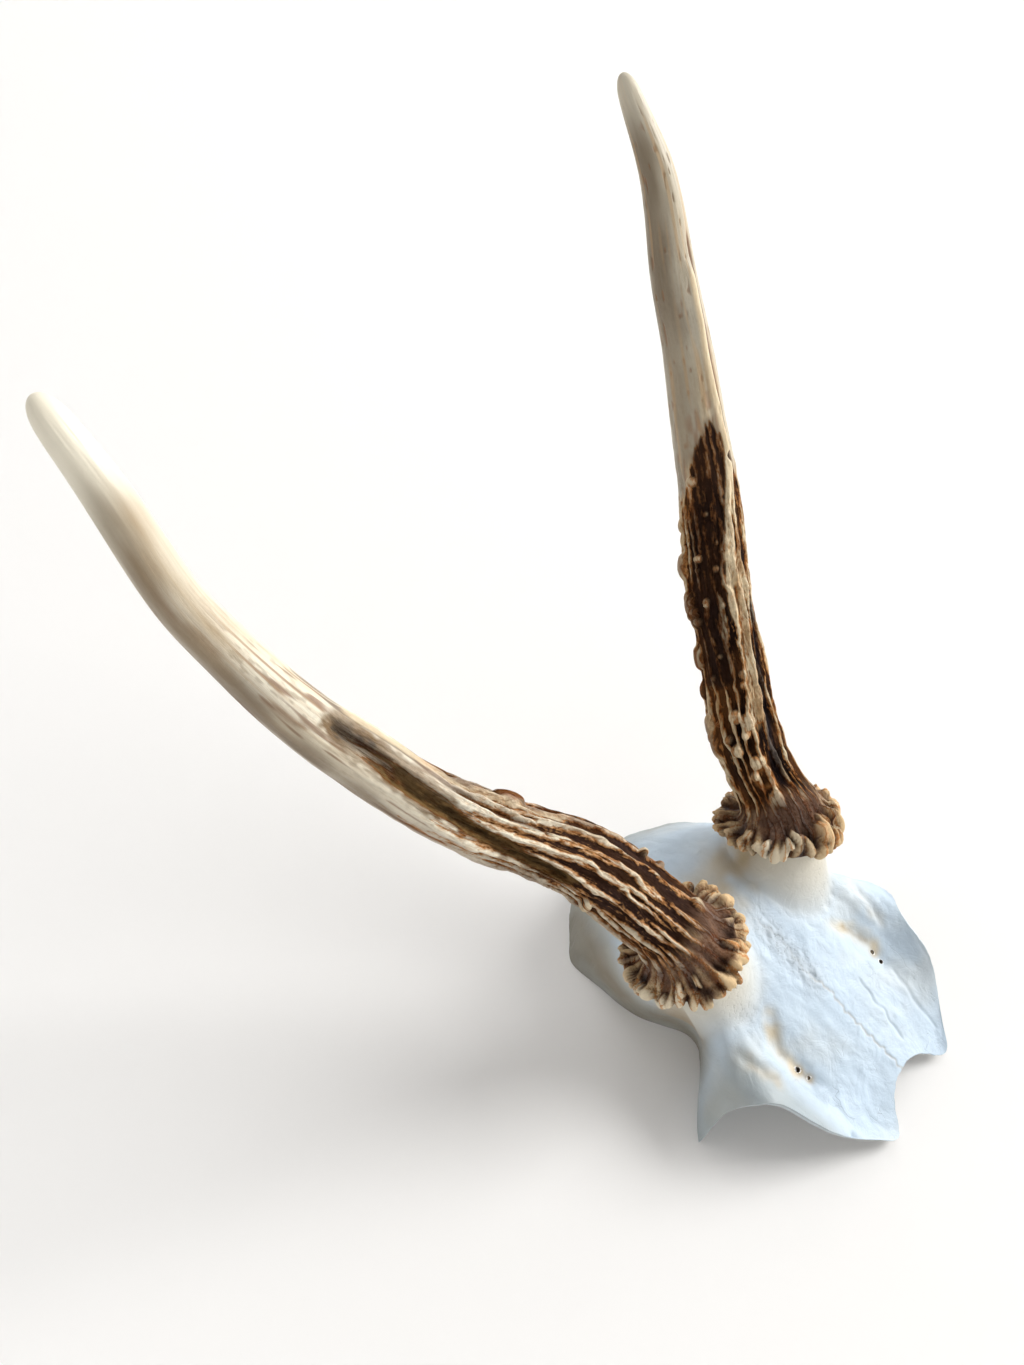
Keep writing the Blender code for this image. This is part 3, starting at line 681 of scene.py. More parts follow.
def drill_foramina(plate):
    """Cuts the small holes of the forehead into the plate, the deep ones right through."""
    cutter = bmesh.new()
    axis = Vector((0, -0.41, 0.91)).normalized()
    turn = axis.to_track_quat("Z", "Y").to_matrix().to_4x4()
    for side, place, radius, depth in FORAMINA:
        centre = Vector(to_world(np.array(place) * (side, 1, 1)))
        bmesh.ops.create_cone(cutter, cap_ends=True, segments=24, radius1=radius * 0.75 * MM,
                              radius2=radius * 0.95 * MM, depth=depth * MM,
                              matrix=Matrix.Translation(centre) @ turn)
    mesh = bpy.data.meshes.new("foramina")
    mesh.materials.append(foramen_material("foramen wall"))
    cutter.to_mesh(mesh)
    cutter.free()
    tool = add_object("foramina", mesh)
    modifier = plate.modifiers.new("foramina", "BOOLEAN")
    modifier.operation = "DIFFERENCE"
    modifier.solver = "EXACT"
    modifier.material_mode = "TRANSFER"
    modifier.object = tool
    with bpy.context.temp_override(object=plate, active_object=plate):
        bpy.ops.object.modifier_apply(modifier=modifier.name)
    bpy.data.objects.remove(tool, do_unlink=True)


# Antlers

class Beam:
    """One antler's grid: the angle, the distance from the seat and the radius at each point."""

    def __init__(self, theta, along, size):
        self.theta = theta
        self.along = along
        self.size = size
        self.layers = ()      # the groove colour and the crest colour

    def noise(self, across_mm, along_mm, seed):
        """Noise in cells of that size round the antler and along it."""
        return noise(on_tube(self.theta, self.along, across_mm, along_mm), seed)

    def patches(self, across_mm, along_mm, seed, low, high):
        """Patches of that noise, from 0 at its low value to 1 at its high one."""
        return ramp(self.noise(across_mm, along_mm, seed), low, high)

    def past(self, start, end):
        """0 up to the start distance, 1 from the end distance on."""
        return ramp(self.along, start, end)

    def off_angle(self, degrees):
        """Angle from each point to that direction, in radians."""
        return wrapped(np.degrees(self.theta) - degrees)

    def facing(self, degrees, width):
        """1 on the side that faces that way, falling off over width radians."""
        return np.exp(-(self.off_angle(degrees) / width) ** 2)

    def stroke(self, points, width, fade=6.0):
        """1 along a line of (distance, degrees), falling off over width mm, and at the ends."""
        distances, degrees = zip(*sorted(points))
        off = self.off_angle(np.interp(self.along, distances, degrees)) * self.size
        ends = self.past(distances[0] - fade, distances[0] + fade * 0.3)
        ends = ends * (1 - self.past(distances[-1] - fade * 0.3, distances[-1] + fade))
        return np.exp(-(off / width) ** 2) * ends

    def strokes(self, lines):
        """The strongest of several strokes, each given as (points, width)."""
        return np.maximum.reduce([self.stroke(points, width) for points, width in lines])

    def dome(self, place, size, stretch=1.0):
        """Height of a round bead of that size at a place, in mm, or of one drawn out lengthwise."""
        off = self.off_angle(place[1]) * self.size
        square = (off ** 2 + ((self.along - place[0]) / stretch) ** 2) / size ** 2
        return 0.9 * size * np.clip(1 - square * 0.75, 0, 1) ** 0.65

    def domes(self, placed, stretch=1.0):
        """Height of many beads, each given as (place, size)."""
        return sum(self.dome(place, size, stretch) for place, size in placed)

    def paint(self, colour, share):
        """Covers the groove and the crest colour alike."""
        self.layers = [mix(layer, colour, share) for layer in self.layers]

    def cover(self, colour, mask, low, high, strength):
        """Paints from where a mask has its low value to where it has its high one."""
        self.paint(colour, strength * ramp(mask, low, high))


def path_frames(path, seat, normal, stations):
    """Centre, and two side directions, at each distance along the path."""
    guides = np.array([seat, seat + normal * 5] + [np.array(p, float) for p in path])
    lengths = np.concatenate([[0], np.cumsum(np.linalg.norm(np.diff(guides, axis=0), axis=1))])
    total = lengths[-1]
    centres = spline(lengths, guides, np.minimum(stations, total))
    ahead = spline(lengths, guides, np.minimum(stations + 0.05, total))
    behind = spline(lengths, guides, np.maximum(stations - 0.05, 0))
    directions = ahead - behind
    directions /= np.linalg.norm(directions, axis=1)[:, None]
    directions[0] = normal
    first = np.cross((0, 1, 0), normal)
    firsts, seconds = [], []
    for direction in directions:
        first = first - direction * first.dot(direction)
        first /= np.linalg.norm(first)
        firsts.append(first)
        seconds.append(np.cross(direction, first))
    return centres, np.array(firsts), np.array(seconds), total


def on_tube(angles, along, across_mm, along_mm):
    """Noise places on a tube, in cells of that size round it and along it."""
    ring = TUBE_RADIUS / across_mm
    return np.stack([np.cos(angles) * ring, np.sin(angles) * ring, along / along_mm], axis=-1)


def wrapped(degrees):
    """Difference of angles, in radians from -pi to pi."""
    return (np.radians(degrees) + math.pi) % (2 * math.pi) - math.pi


def coronet_rows():
    """Heights, radii and bead shares of the coronet's rows, evenly spaced along its outline."""
    outline = np.array(CORONET)
    steps = np.linalg.norm(np.diff(outline[:, :2], axis=0), axis=1)
    places = np.concatenate([[0], np.cumsum(steps)])
    rows = np.linspace(0, places[-1], int(places[-1] / CORONET_STEP))
    return spline(places, outline, rows)


def half_ball(off, up):
    return np.sqrt(np.clip(1 - off ** 2 - up ** 2, 0, 1))


def coronet_beads(theta, height, seed):
    """Rounded beads round the rim and the ribs that run up from them, both from 0 to about 1."""
    random = np.random.default_rng(seed)
    gaps = random.uniform(0.6, 1.4, BEADS)
    centres = 360 * np.cumsum(gaps) / gaps.sum()
    beads, ribs = np.zeros_like(theta), np.zeros_like(theta)
    for centre, gap in zip(centres, gaps):
        width = math.radians(gap * 360 / gaps.sum() * random.uniform(0.44, 0.54))
        tall, level = random.uniform(0.6, 1.15), random.uniform(1.9, 4.0)
        lean = random.uniform(-2.5, 2.5)
        off = wrapped(np.degrees(theta) - centre - lean * (height - level)) / width
        up = (height - level) / random.uniform(1.4, 2.2)
        beads = np.maximum(beads, tall * half_ball(off, up))
        ribs = np.maximum(ribs, min(tall, 1) * np.exp(-(off / 0.85) ** 2))
    for _ in range(SMALL_PEARLS):
        centre, level, size = random.uniform(0, 360), random.uniform(0.8, 6.0), random.uniform(0.7, 1.2)
        off = wrapped(np.degrees(theta) - centre) * RIM_RADIUS / size
        beads = np.maximum(beads, (0.6 + 0.45 * size) * half_ball(off, (height - level) / size))
    return beads, ribs


def ridge_field(beam, count, seed, wander, sharp):
    """Thin wavy crests along the antler, from 0 in the grooves to 1 on the crests."""
    warp = fractal(on_tube(beam.theta, beam.along, 8, 30), seed, 2)
    warp = warp + 0.36 * beam.noise(3.2, 6, seed + 5)
    warp = warp + 0.15 * beam.noise(1.4, 1.8, seed + 6)
    wave = (1 + np.cos(count * beam.theta + wander * warp)) / 2
    strength = 0.48 + 0.52 * beam.patches(3.0, 16, seed + 7, -0.6, 0.35)
    strength = strength * (0.85 + 0.25 * beam.noise(2.0, 3.0, seed + 8))
    return wave ** sharp * strength


def crests(beam, seed, counts, wander):
    """Strands of two ridge fields that cross and join, broader towards the tip."""
    sharp = 3.2 - 2.3 * beam.past(35, 95)
    turned = Beam(beam.theta + 0.2, beam.along, beam.size)
    first = ridge_field(beam, counts[0], seed, wander, sharp)
    second = ridge_field(turned, counts[1], seed + 20, wander * 1.2, sharp)
    share = beam.patches(9, 26, seed + 40, -0.25, 0.25)
    return np.maximum(first * (1 - 0.75 * share), second * (0.25 + 0.75 * share))


def scatter(seed, count, distances, degrees, sizes):
    """Seeded beads between those limits: (distance, degrees), size."""
    random = np.random.default_rng(seed)
    return [((random.uniform(*distances), random.uniform(*degrees)), random.uniform(*sizes))
            for _ in range(count)]


def antler_rows(total, radii):
    """For each ring its distance, radius and bead share, and how far relief lifts and widens it."""
    crown = coronet_rows()
    count = len(crown)
    step = np.gradient(crown[:, :2], axis=0)
    step /= np.linalg.norm(step, axis=1)[:, None]
    shaft = np.arange(CORONET_TOP + SHAFT_STEP, total - TIP_END, SHAFT_STEP)
    tip = total - TIP_END * np.linspace(1, 0, TIP_RINGS)[:-1] ** 2
    stations = np.concatenate([crown[:, 0], shaft, tip])
    radius = np.interp(stations, *zip(*((CORONET[-1][:2],) + radii)))
    radius[:count] = crown[:, 1]
    radius *= np.sqrt(1 - np.clip((stations - total + TIP_LENGTH) / TIP_LENGTH, 0, 1) ** 4)
    share = 0.1 * (1 - ramp(stations, CORONET_TOP, 13))
    share[:count] = crown[:, 2]
    blend = ramp(stations[:count], 6.5, CORONET_TOP)
    lift, widen = np.zeros(len(stations)), np.ones(len(stations))
    lift[:count] = -step[:, 1] * (1 - blend)
    widen[:count] = step[:, 0] + (1 - step[:, 0]) * blend
    return stations, radius, share, lift, widen


def coronet_surface(antler, beam, burr):
    """The coronet's relief in mm, its colour, how pale each point is, and where its top is bare."""
    bent = beam.theta + 0.07 * beam.noise(3, 2, 77)
    beads, ribs = coronet_beads(bent, beam.along, 3 + antler.side)
    bare = beam.facing(antler.bare_top[0], math.radians(antler.bare_top[1]))
    ribs = ribs * (1 - 0.9 * bare * beam.past(4.2, 5.6))
    crumbs = beam.noise(1.3, 1.3, 91) + 0.6 * beam.noise(0.7, 0.7, 92)
    wave = 0.9 * noise(on_tube(beam.theta, beam.along * 0, 7, 1), 93)
    bulge = antler.bulge[1] * beam.facing(antler.bulge[0], BULGE_WIDTH)
    top_face = 1.5 * (ribs - 0.45 * (1 - bare)) + 0.75 * crumbs
    relief = burr * (BEAD_REACH * (beads - 0.25) + wave + bulge + 0.30 * crumbs
                     + beam.past(4.4, 5.4) * top_face)
    raised = np.maximum(beads, 0.9 * ribs)
    cloud = beam.noise(3, 2, 95)
    colour = mix(DARK, PURPLE, 0.15 + 0.9 * np.maximum(beads, 0.8 * ribs) + 0.3 * cloud)
    colour = mix(colour, mix(TAN, CREAM, 0.55 + 0.3 * cloud), ramp(raised + 0.3 * cloud, 0.30, 0.80))
    colour = mix(colour, ORANGE, 0.28 * ramp(crumbs, 0.1, 0.8))
    colour = mix(colour, DARK * 1.5, 0.45 * ramp(-crumbs, 0.3, 1.0))
    colour = mix(colour, antler.top_colour, 0.60 * ramp(beam.along + 0.8 * crumbs, 4.8, 6.8))
    pale = beam.facing(antler.pale_beads[0], math.radians(antler.pale_beads[1]))
    tips = ramp(beads + 0.25 * cloud + 0.15 * pale, 0.62, 0.95) * ramp(burr, 0.4, 0.8)
    tip_colour = mix(mix(TAN * 1.3, CREAM, 0.5 + 0.8 * pale), IVORY, 0.6 * pale)
    return relief, mix(colour, tip_colour, tips * 0.9), tips, bare


def antler_surface(antler):
    """Makes the fine mesh of one antler, with its colours and surface values."""
    mirror = np.array((antler.side, 1, 1))
    normal, seat = SEAT_NORMAL * mirror, SEAT * mirror
    total = path_frames(antler.path, seat, normal, np.array([0.0]))[3]
    stations, radius, share, lift, widen = antler_rows(total, antler.radii)
    angles = 2 * math.pi * np.arange(ANTLER_SIDES) / ANTLER_SIDES
    theta, along = np.meshgrid(angles, stations)
    beam = Beam(theta, along, np.broadcast_to(radius[:, None], theta.shape))
    relief, crest, rough = antler.style(beam)
    crown_relief, crown_tint, bead_tips, bare = coronet_surface(antler, beam, share[:, None])
    lower = ramp(along - 2.5 * bare, 6.5, 12.5)
    end_fade = 1 - beam.past(total - TIP_END - 6, total - TIP_END)
    depth = crown_relief + relief * lower * (0.25 + 0.75 * end_fade)
    reach = beam.size + widen[:, None] * depth
    raised = np.maximum(lift[:, None] * depth, -along)
    raised[0] = 0
    rough = rough * lower + (1 - lower) * (0.75 - 0.6 * bead_tips)

    centres, firsts, seconds, _ = path_frames(antler.path, seat, normal, stations)
    radial = np.cos(theta)[..., None] * firsts[:, None] + np.sin(theta)[..., None] * seconds[:, None]
    points = centres[:, None] + radial * reach[..., None] + raised[..., None] * normal
    end = path_frames(antler.path, seat, normal, np.array([0.0, total]))[0][1]
    spread = TUBE_RADIUS * lower + 0.9 * reach * (1 - lower)
    grain = np.stack([np.cos(theta) * spread, np.sin(theta) * spread,
                      along / 5 + 0.6 * np.minimum(along, 9)], axis=-1)
    grain = np.concatenate([grain.reshape(-1, 3), [[0, 0, 0], [0, 0, total / 5 + 5.4]]])
    colours = {}
    for label, layer in zip(("low", "high"), beam.layers):
        layer = mix(crown_tint, layer, lower)
        colours[label] = np.concatenate([layer.reshape(-1, 3), [BROWN], layer[-1].mean(axis=0)[None]])
    values = {"crest": np.concatenate([crest.ravel(), [0.3, 0.9]]),
              "rough": np.concatenate([rough.ravel(), [0.8, 0.1]])}
    all_points = np.concatenate([points.reshape(-1, 3), seat[None], end[None]])
    return make_mesh(antler.name, all_points, closed_tube(*theta.shape), colours, values, grain)


def closed_tube(rings, sides):
    """Faces of a tube of rings that ends in two single points: its start and its end."""
    faces = tube_faces(rings, sides)
    start, end, last = rings * sides, rings * sides + 1, (rings - 1) * sides
    for j in range(sides):
        k = (j + 1) % sides
        faces.append((start, k, j))
        faces.append((end, last + j, last + k))
    return faces


# The animal's right antler, the near one. Lines and places are (distance in mm, degrees).
NEAR_HOLLOW = ((119, 287), (106, 281), (88, 270))
NEAR_HOLLOW_TAIL = ((94, 273), (65, 240), (50, 227))
NEAR_CREAM = ((122, 310), (98, 301), (84, 290))
NEAR_RIDGE = ((118, 328), (89, 327), (56, 331))
NEAR_SEAMS = ((((124, 322), (100, 316), (75, 300), (60, 296)), 0.9),
              (((132, 340), (98, 341), (74, 349)), 1.3))
NEAR_BEADS = (((40, 206), 1.8), ((12.0, 316), 1.8), ((31, 338), 1.3), ((24, 346), 1.2))
NEAR_SPUR = (70.0, 344)
NEAR_SCARS = (((158, 226), (166, 222)), ((149, 237), (155, 234)), ((127, 244), (133, 242)))
# Painted shade along the near antler's underside and its lower edge
NEAR_UNDERSIDE_SHADE = ((12, 185), (60, 192), (110, 197), (165, 205))
NEAR_LOWER_EDGE_SHADE = ((100, 195), (130, 208), (160, 218), (180, 225))
NEAR_BROW = ((12, 350), (50, 352), (96, 346))
NEAR_SHADE = ((148, 262), (168, 272), (180, 280))


def near_style(beam):
    """The near antler: relief in mm, crest height and roughness; its colours go into the beam."""
    crest = crests(beam, 101, (15, 18), 3.4)
    upper = beam.facing(345, 0.55)
    reach = beam.along - 20 * upper + 12 * beam.noise(9, 25, 123)
    rough = 1 - ramp(reach, 58, 106)
    height = 0.35 * (1 - beam.past(105, 135)) + 1.7 * rough
    wrinkle = beam.noise(1.0, 6, 127)
    relief = -height * (1 - crest) * (0.8 + 0.3 * beam.noise(5, 12, 125))
    relief = relief + wrinkle * (0.04 + 0.18 * rough) + 0.16 * beam.noise(6, 16, 129)

    hollow = np.maximum(beam.stroke(NEAR_HOLLOW, 3.4, 8), beam.stroke(NEAR_HOLLOW_TAIL, 2.0))
    hollow = hollow * (1 + 0.15 * beam.noise(1.6, 4, 141))
    cream = beam.stroke(NEAR_CREAM, 2.4, 10)
    ridge = beam.stroke(NEAR_RIDGE, 1.5)
    seam = beam.strokes(NEAR_SEAMS)
    relief = relief - 1.3 * hollow + 0.5 * ridge + 0.6 * cream - 0.5 * seam
    relief = relief + 0.22 * hollow * beam.noise(0.9, 3.5, 151)
    beads = beam.domes(NEAR_BEADS)
    relief = relief * (1 - 0.7 * ramp(beads, 0.3, 1.0)) + 0.95 * beads
    spur = beam.dome(NEAR_SPUR, 2.3, 1.9)
    relief = relief * (1 - 0.5 * ramp(spur, 0.3, 1.2)) + spur * (0.72 + 0.25 * wrinkle)

    cloud = beam.noise(3, 8, 135)
    floor = mix(SLATE, DARK, 0.5 + beam.noise(5, 9, 133))
    floor = mix(floor, BROWN * 1.2, beam.past(45, 95) * 0.8 + 0.2)
    top = mix(mix(TAN, CREAM, 0.8 + 0.5 * cloud), IVORY, 0.45 + 0.40 * beam.past(30, 90))
    beam.layers = (floor, top)
    worn = ramp(beam.along + 10 * beam.noise(7, 18, 131), 88, 126)
    beam.paint(mix(IVORY * 0.97, CREAM, 0.10 + 0.5 * beam.noise(6, 16, 137)), worn)
    streaks = beam.patches(1.2, 9, 139, 0.38, 0.60)
    beam.paint(BROWN * 1.8, 0.8 * streaks * beam.past(70, 95) * (1 - beam.past(132, 172)))
    lines = beam.patches(0.9, 22, 143, 0.15, 0.6) * worn
    beam.paint(TAN, 0.25 * lines * (1 - beam.past(150, 185)))
    flecks = beam.patches(0.8, 1.9, 145, 0.22, 0.50)
    flecks = flecks * beam.patches(5, 12, 147, -0.2, 0.40)
    beam.paint(SHADE_AND_FLECK_BROWN * 0.9, 0.45 * flecks * worn * (1 - beam.past(150, 176)))
    beam.cover(IVORY * 0.95, cream, 0.3, 0.8, 0.7)
    beam.cover(BROWN * 0.8, seam, 0.3, 0.8, 0.75)
    speckle = beam.noise(0.8, 1.6, 153)
    beam.paint(OLIVE * 3, ramp(hollow + 0.15 * speckle, 0.10, 0.45) * (0.85 + 0.3 * cloud))
    beam.paint(OLIVE * 0.8, ramp(hollow + 0.2 * speckle, 0.50, 0.95) * (0.8 + 0.4 * cloud))
    beam.cover(CREAM, ridge, 0.3, 0.8, 0.8)
    for scar in NEAR_SCARS:
        beam.paint(BROWN * 2, 0.6 * beam.stroke(scar, 0.8, 3))
    # Painted shade: brown along the underside and the lower edge, which face away from the light
    beam.paint(BROWN * 1.3, 0.62 * beam.stroke(NEAR_UNDERSIDE_SHADE, 3.6, 14) * (0.8 + 0.5 * cloud))
    beam.paint(SHADE_AND_FLECK_BROWN * 0.75, 0.85 * beam.stroke(NEAR_LOWER_EDGE_SHADE, 3.4, 12) * (0.85 + 0.4 * cloud))
    brow = beam.stroke(NEAR_BROW, 4.0, 9)
    beam.layers = [beam.layers[0], mix(beam.layers[1], mix(ORANGE, BROWN, 0.6 - cloud), 0.6 * brow)]
    beam.paint(BROWN * 0.9, 0.8 * beam.patches(0.9, 7, 149, -0.05, 0.30) * brow)
    beam.paint(SHADE_AND_FLECK_BROWN * 1.5, 0.6 * beam.stroke(NEAR_SHADE, 5.0, 12) * (0.9 + 0.5 * cloud))
    beam.paint(IVORY * 1.05, beam.past(176, 192))
    beam.cover(CREAM, beads, 0.5, 1.5, 0.85)
    beam.cover(BROWN * 2.2, spur + 0.6 * wrinkle, 0.5, 1.6, 0.7)
    rough = np.clip(0.12 + 0.7 * rough + 0.4 * hollow, 0, 1) * (1 - beam.past(150, 185) * 0.9)
    crest = crest + 0.30 * beam.past(36, 86) - 0.22 * upper * beam.past(60, 80) + worn
    crest = crest + 0.6 * ramp(cream, 0.4, 0.9) + 0.6 * ramp(ridge, 0.4, 0.9)
    crest = crest - 0.75 * ramp(hollow, 0.2, 0.8) - 0.25 * brow + 0.3 * beads
    return relief, np.clip(crest, 0, 1), rough


# The animal's left antler, the far one
FAR_PATCH = ((114, 238), (104, 222), (90, 210), (67, 190), (45, 186))
FAR_RIDGE = ((152, 264), (132, 255), (118, 262), (108, 268), (101, 262), (93, 250), (80, 240), (62, 235))
FAR_GULLY = ((160, 279), (148, 275), (130, 268), (112, 277), (98, 284))
FAR_BAND = ((78, 262), (66, 258), (50, 245), (34, 236))
FAR_NOTCH = (104.5, 274)
FAR_SLATE = ((64, 285), (54, 281), (35, 262), (14, 245))
FAR_BEADS = (((99.4, 184), 1.5), ((35.8, 202), 1.7), ((34.3, 220), 1.9), ((27.3, 193), 1.7),
             ((23.0, 217), 1.8), ((12.0, 218), 1.9), ((31.5, 214), 1.3), ((19.5, 206), 1.3))
FAR_LUMPS = (((76.6, 140), 2.4), ((66.5, 148), 2.2), ((62.5, 156), 1.6), ((52.3, 140), 2.4),
             ((33.3, 136), 2.2), ((28.5, 146), 2.0), ((88.0, 138), 1.6), ((43.0, 130), 1.7))
FAR_RING = (18, 219)
# Where it turns pale: angle, distance
FAR_WORN_FROM = ((0, 96), (60, 94), (130, 94), (163, 97.6), (181, 102.9), (213, 110.9), (238, 115),
                 (260, 109), (275, 104), (300, 98))


def far_style(beam):
    """The far antler: relief in mm, crest height and roughness; its colours go into the beam."""
    crest = crests(beam, 201, (17, 23), 5.0)
    rough = 1 - ramp(beam.along + 10 * beam.noise(9, 20, 223), 88, 116)
    patch = beam.stroke(FAR_PATCH, 5.8, 4) * (1 + 0.25 * beam.noise(1.5, 4, 241))
    height = 0.30 * (1 - beam.past(112, 145)) + 1.35 * rough
    height = height * (1 - 0.65 * np.clip(patch, 0, 1))
    relief = -height * (1 - crest) * (0.8 + 0.4 * beam.noise(4, 9, 225))
    relief = relief + beam.noise(1.0, 4.5, 227) * (0.05 + 0.20 * rough) + 0.16 * beam.noise(6, 14, 229)

    ridge = beam.stroke(FAR_RIDGE, 1.6)
    gully = beam.stroke(FAR_GULLY, 0.8)
    band = beam.stroke(FAR_BAND, 2.4)
    notch = beam.dome(FAR_NOTCH, 1.5)
    slate = beam.stroke(FAR_SLATE, 2.0)
    relief = relief + 1.0 * ridge + 0.5 * band - 0.6 * gully - 0.9 * notch - 0.5 * patch - 1.0 * slate
    small_beads = scatter(5, 22, (12, 90), (160, 228), (0.7, 1.2))
    beads = beam.domes([*FAR_BEADS, *small_beads]) + 0.6 * beam.domes(FAR_LUMPS, 1.5)
    relief = relief * (1 - 0.7 * ramp(beads, 0.3, 1.0)) + 0.95 * beads
    away = np.hypot(beam.off_angle(FAR_RING[1]) * beam.size, beam.along - FAR_RING[0])
    ring = np.exp(-((away - 2.6) / 0.7) ** 2)
    relief = relief + 0.7 * ring - 0.5 * np.exp(-(away / 1.6) ** 2)

    cloud = beam.noise(3, 7, 235)
    floor = mix(DARK, BROWN * 0.9, 0.45 + beam.noise(4, 7, 233))
    beam.layers = (floor, mix(mix(TAN * 0.8, TAN * 1.2, 0.6 + 0.6 * cloud), CREAM, 0.62 + 0.8 * cloud))
    beam.cover(mix(TAN, CREAM, 0.5 + cloud), band, 0.3, 0.8, 0.6)
    beam.paint(DARK * 1.4, 0.88 * ramp(patch, 0.15, 0.7) * (1 - 0.3 * crest))
    start = np.interp(np.degrees(beam.theta), *zip(*FAR_WORN_FROM), period=360)
    edge = beam.along - start + 1.5 * beam.noise(4, 9, 231) + 2.6 * beam.noise(1.1, 4, 232)
    worn = ramp(edge, -1.5, 3.0)
    pale = mix(IVORY * 0.74, CREAM * 0.72, 0.4 + 0.5 * beam.noise(5, 20, 237))
    # Painted shade: the side facing about 172 degrees, away from the light, is darkened towards brown, more
    # so from 125 mm on and less at the very tip
    shade_side = 0.65 + 0.35 * beam.past(125, 150) - 0.5 * beam.past(188, 198)
    pale = mix(pale, SHADE_AND_FLECK_BROWN * 0.62, 0.92 * shade_side * beam.facing(172 + 18 * cloud, 1.05))
    halo = (1 - ramp(edge, 2, 16)) * beam.patches(1.3, 5, 243, -0.1, 0.5)
    pale = mix(pale, BROWN * 2.4, 0.55 * halo)
    pits = beam.patches(1.2, 2.8, 239, 0.52, 0.75)
    relief = relief - 0.22 * pits * beam.past(100, 120)
    pale = mix(pale, BROWN * 2.4, 0.50 * pits)
    pale = mix(pale, TAN, 0.45 * beam.patches(1.2, 18, 240, 0.1, 0.6))
    beam.paint(pale, worn)
    beam.cover(CREAM * 1.1, ridge, 0.35, 0.85, 0.9)
    beam.cover(BROWN * 1.6, gully, 0.2, 0.7, 0.85)
    beam.paint(DARK, ramp(notch, 0.3, 1.0))
    beam.cover(SLATE, slate, 0.3, 0.8, 0.9)
    beam.paint(ORANGE * 0.9, 0.6 * ring)
    # Painted shade: the pearls are dark brown except on the side facing 205 degrees, where they are pale
    # cream
    pearl_shaded = mix(BROWN * 1.6, CREAM * 0.95, 0.15 + 0.85 * beam.facing(205, 0.6))
    beam.cover(pearl_shaded, beads, 0.35, 1.1, 0.85)
    beam.paint(IVORY * 0.85, beam.past(182, 196) * 0.5)
    rough = np.clip(0.16 + 0.75 * rough, 0, 1) * (1 - beam.past(150, 185) * 0.8)
    crest = crest * (1 - 0.65 * patch) + worn + ramp(ridge, 0.4, 0.9)
    crest = crest + 0.5 * ramp(band, 0.4, 0.9) + 0.3 * beads
    return relief, np.clip(crest, 0, 1), rough


# What differs from antler to antler. Bulge: angle, mm; pale beads and bare top: angle, width in degrees.
Antler = namedtuple("Antler", "name node side path radii style bulge pale_beads bare_top top_colour")
ANTLERS = (
    Antler("antler_shell_left", "antler_left", 1, LEFT_PATH, LEFT_RADII, far_style,
           (131, 1.8), (200, 30), (225, 42), PURPLE * 0.65),
    Antler("antler_shell_right", "antler_right", -1, RIGHT_PATH, RIGHT_RADII, near_style,
           (20, 0.4), (195, 36), (315, 45), PURPLE * 0.85),
)


# Stage

FLOOR_RINGS = ((1.6, 0.0), (2.2, 0.02), (2.8, 0.15), (3.3, 0.5), (3.5, 1.2), (3.5, 3.0))    # radius, height
FLOOR_SIDES = 96
FLOOR_COLOUR = (0.92, 0.92, 0.92, 1)
LIGHT_TARGET = (0, 0.01, 0.06)
WORLD_COLOUR, WORLD_STRENGTH = (1.0, 0.965, 0.92, 1), 0.27


def make_floor():
    """A pale floor that turns up behind the object on every side."""
    turns = 2 * math.pi * np.arange(FLOOR_SIDES) / FLOOR_SIDES
    points = [(radius * math.cos(turn), radius * math.sin(turn), height)
              for radius, height in FLOOR_RINGS for turn in turns] + [(0, 0, 0)]
    faces = [face[::-1] for face in tube_faces(len(FLOOR_RINGS), FLOOR_SIDES)]
    faces += [(len(points) - 1, k, (k + 1) % FLOOR_SIDES) for k in range(FLOOR_SIDES)]
    mesh = bpy.data.meshes.new("floor")
    mesh.from_pydata(points, [], faces)
    mesh.shade_smooth()
    floor = add_object("floor", mesh)
    material = bpy.data.materials.new("floor")
    material.use_nodes = True
    shader = material.node_tree.nodes["Principled BSDF"]
    shader.inputs["Base Color"].default_value = FLOOR_COLOUR
    shader.inputs["Roughness"].default_value = 0.9
    shader.inputs["Specular IOR Level"].default_value = 0.1
    floor.data.materials.append(material)


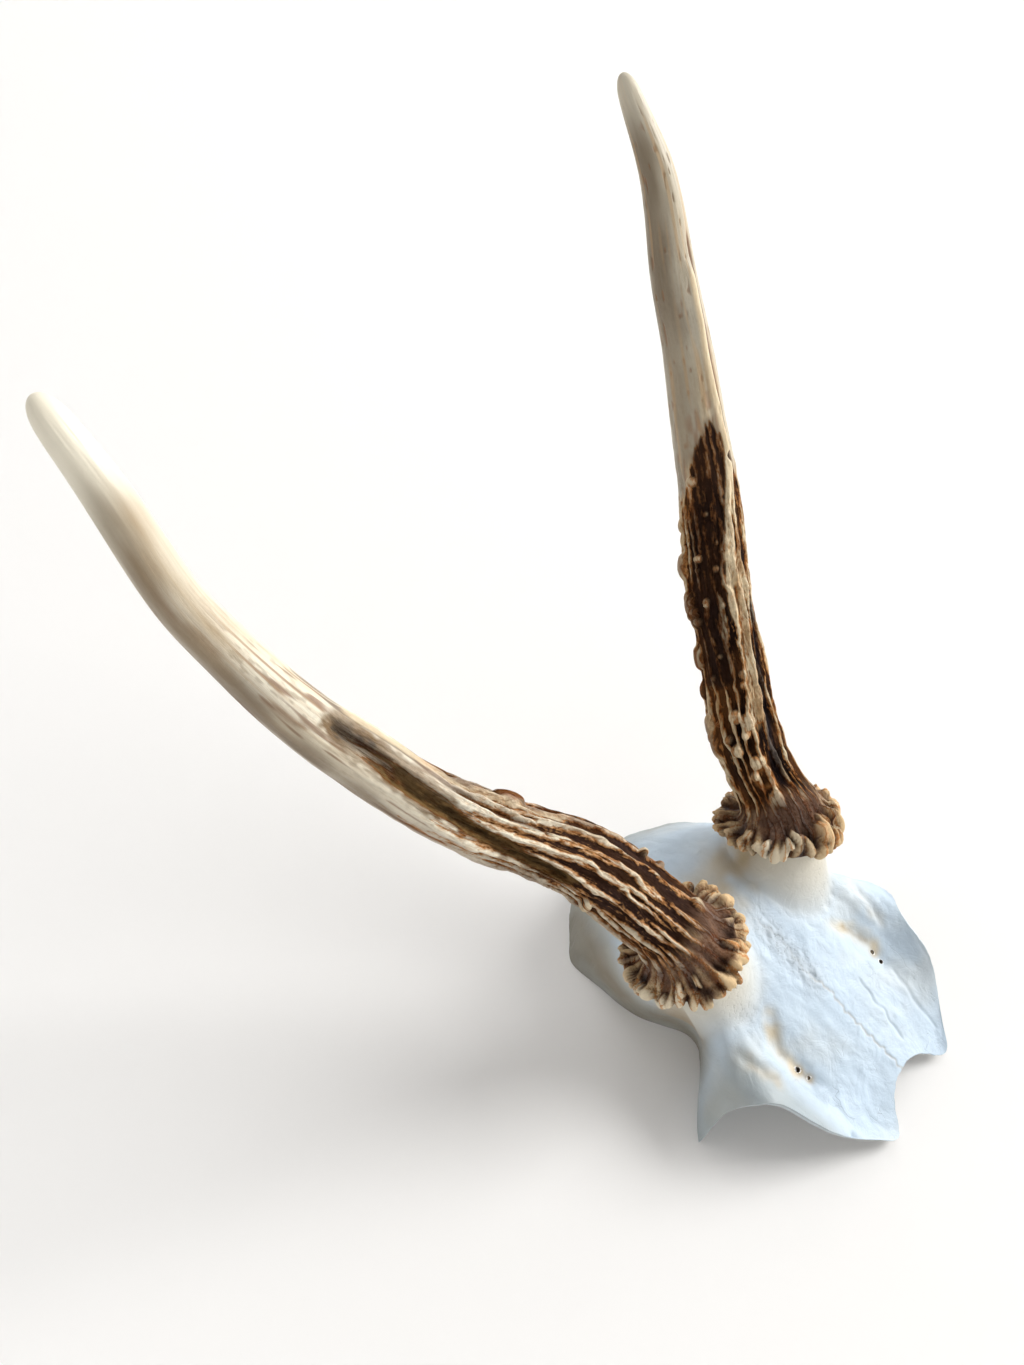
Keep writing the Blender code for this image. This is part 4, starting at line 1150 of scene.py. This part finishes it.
def add_light(name, place, size, energy, colour):
    light = bpy.data.lights.new(name, "AREA")
    light.size = size
    light.energy = energy
    light.color = colour
    lamp = add_object(name, light)
    lamp.location = place
    direction = Vector(LIGHT_TARGET) - Vector(place)
    lamp.rotation_euler = direction.to_track_quat("-Z", "Y").to_euler()


def make_lights():
    add_light("key", (2.75, -1.55, 1.85), 1.7, 140, (1.0, 0.985, 0.96))
    add_light("top", (1.2, 1.2, 3.0), 2.2, 22, (1, 1, 1))
    world = bpy.data.worlds.new("studio")
    world.use_nodes = True
    background = world.node_tree.nodes["Background"]
    background.inputs["Color"].default_value = WORLD_COLOUR
    background.inputs["Strength"].default_value = WORLD_STRENGTH
    bpy.context.scene.world = world


# Camera solved from the photograph: its place, and which way its right side and its top point
CAMERA_PLACE = (-0.1393, 0.0101 - ORIGIN_Y * MM, 0.2892)
CAMERA_RIGHT = (0.6329, -0.7739, 0.0216)
CAMERA_UP = (0.6021, 0.5095, 0.6147)
FOCAL_PIXELS = 1024.5
IMAGE_HEIGHT = 1365
SENSOR = 36.0


def make_camera():
    camera = bpy.data.cameras.new("camera")
    camera.sensor_width = SENSOR
    camera.lens = FOCAL_PIXELS / IMAGE_HEIGHT * SENSOR
    camera.clip_start = 0.01
    holder = add_object("camera", camera)
    right = Vector(CAMERA_RIGHT).normalized()
    up = (Vector(CAMERA_UP) - right * right.dot(Vector(CAMERA_UP))).normalized()
    back = right.cross(up)
    turn = Matrix((right, up, back)).transposed().to_4x4()
    holder.matrix_world = Matrix.Translation(CAMERA_PLACE) @ turn
    bpy.context.scene.camera = holder


def main():
    plate = make_plate()
    plate.data.materials.append(bone_material("bleached bone"))
    drill_foramina(plate)
    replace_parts(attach(plate, "root"), "skull_plate")
    horn = antler_material("antler")
    for antler in ANTLERS:
        thing, node = antler_surface(antler), antler.node
        thing.data.materials.append(horn)
        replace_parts(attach(thing, "root"), node)
    make_floor()
    make_lights()
    make_camera()
    bpy.context.scene.view_settings.view_transform = "Standard"


main()
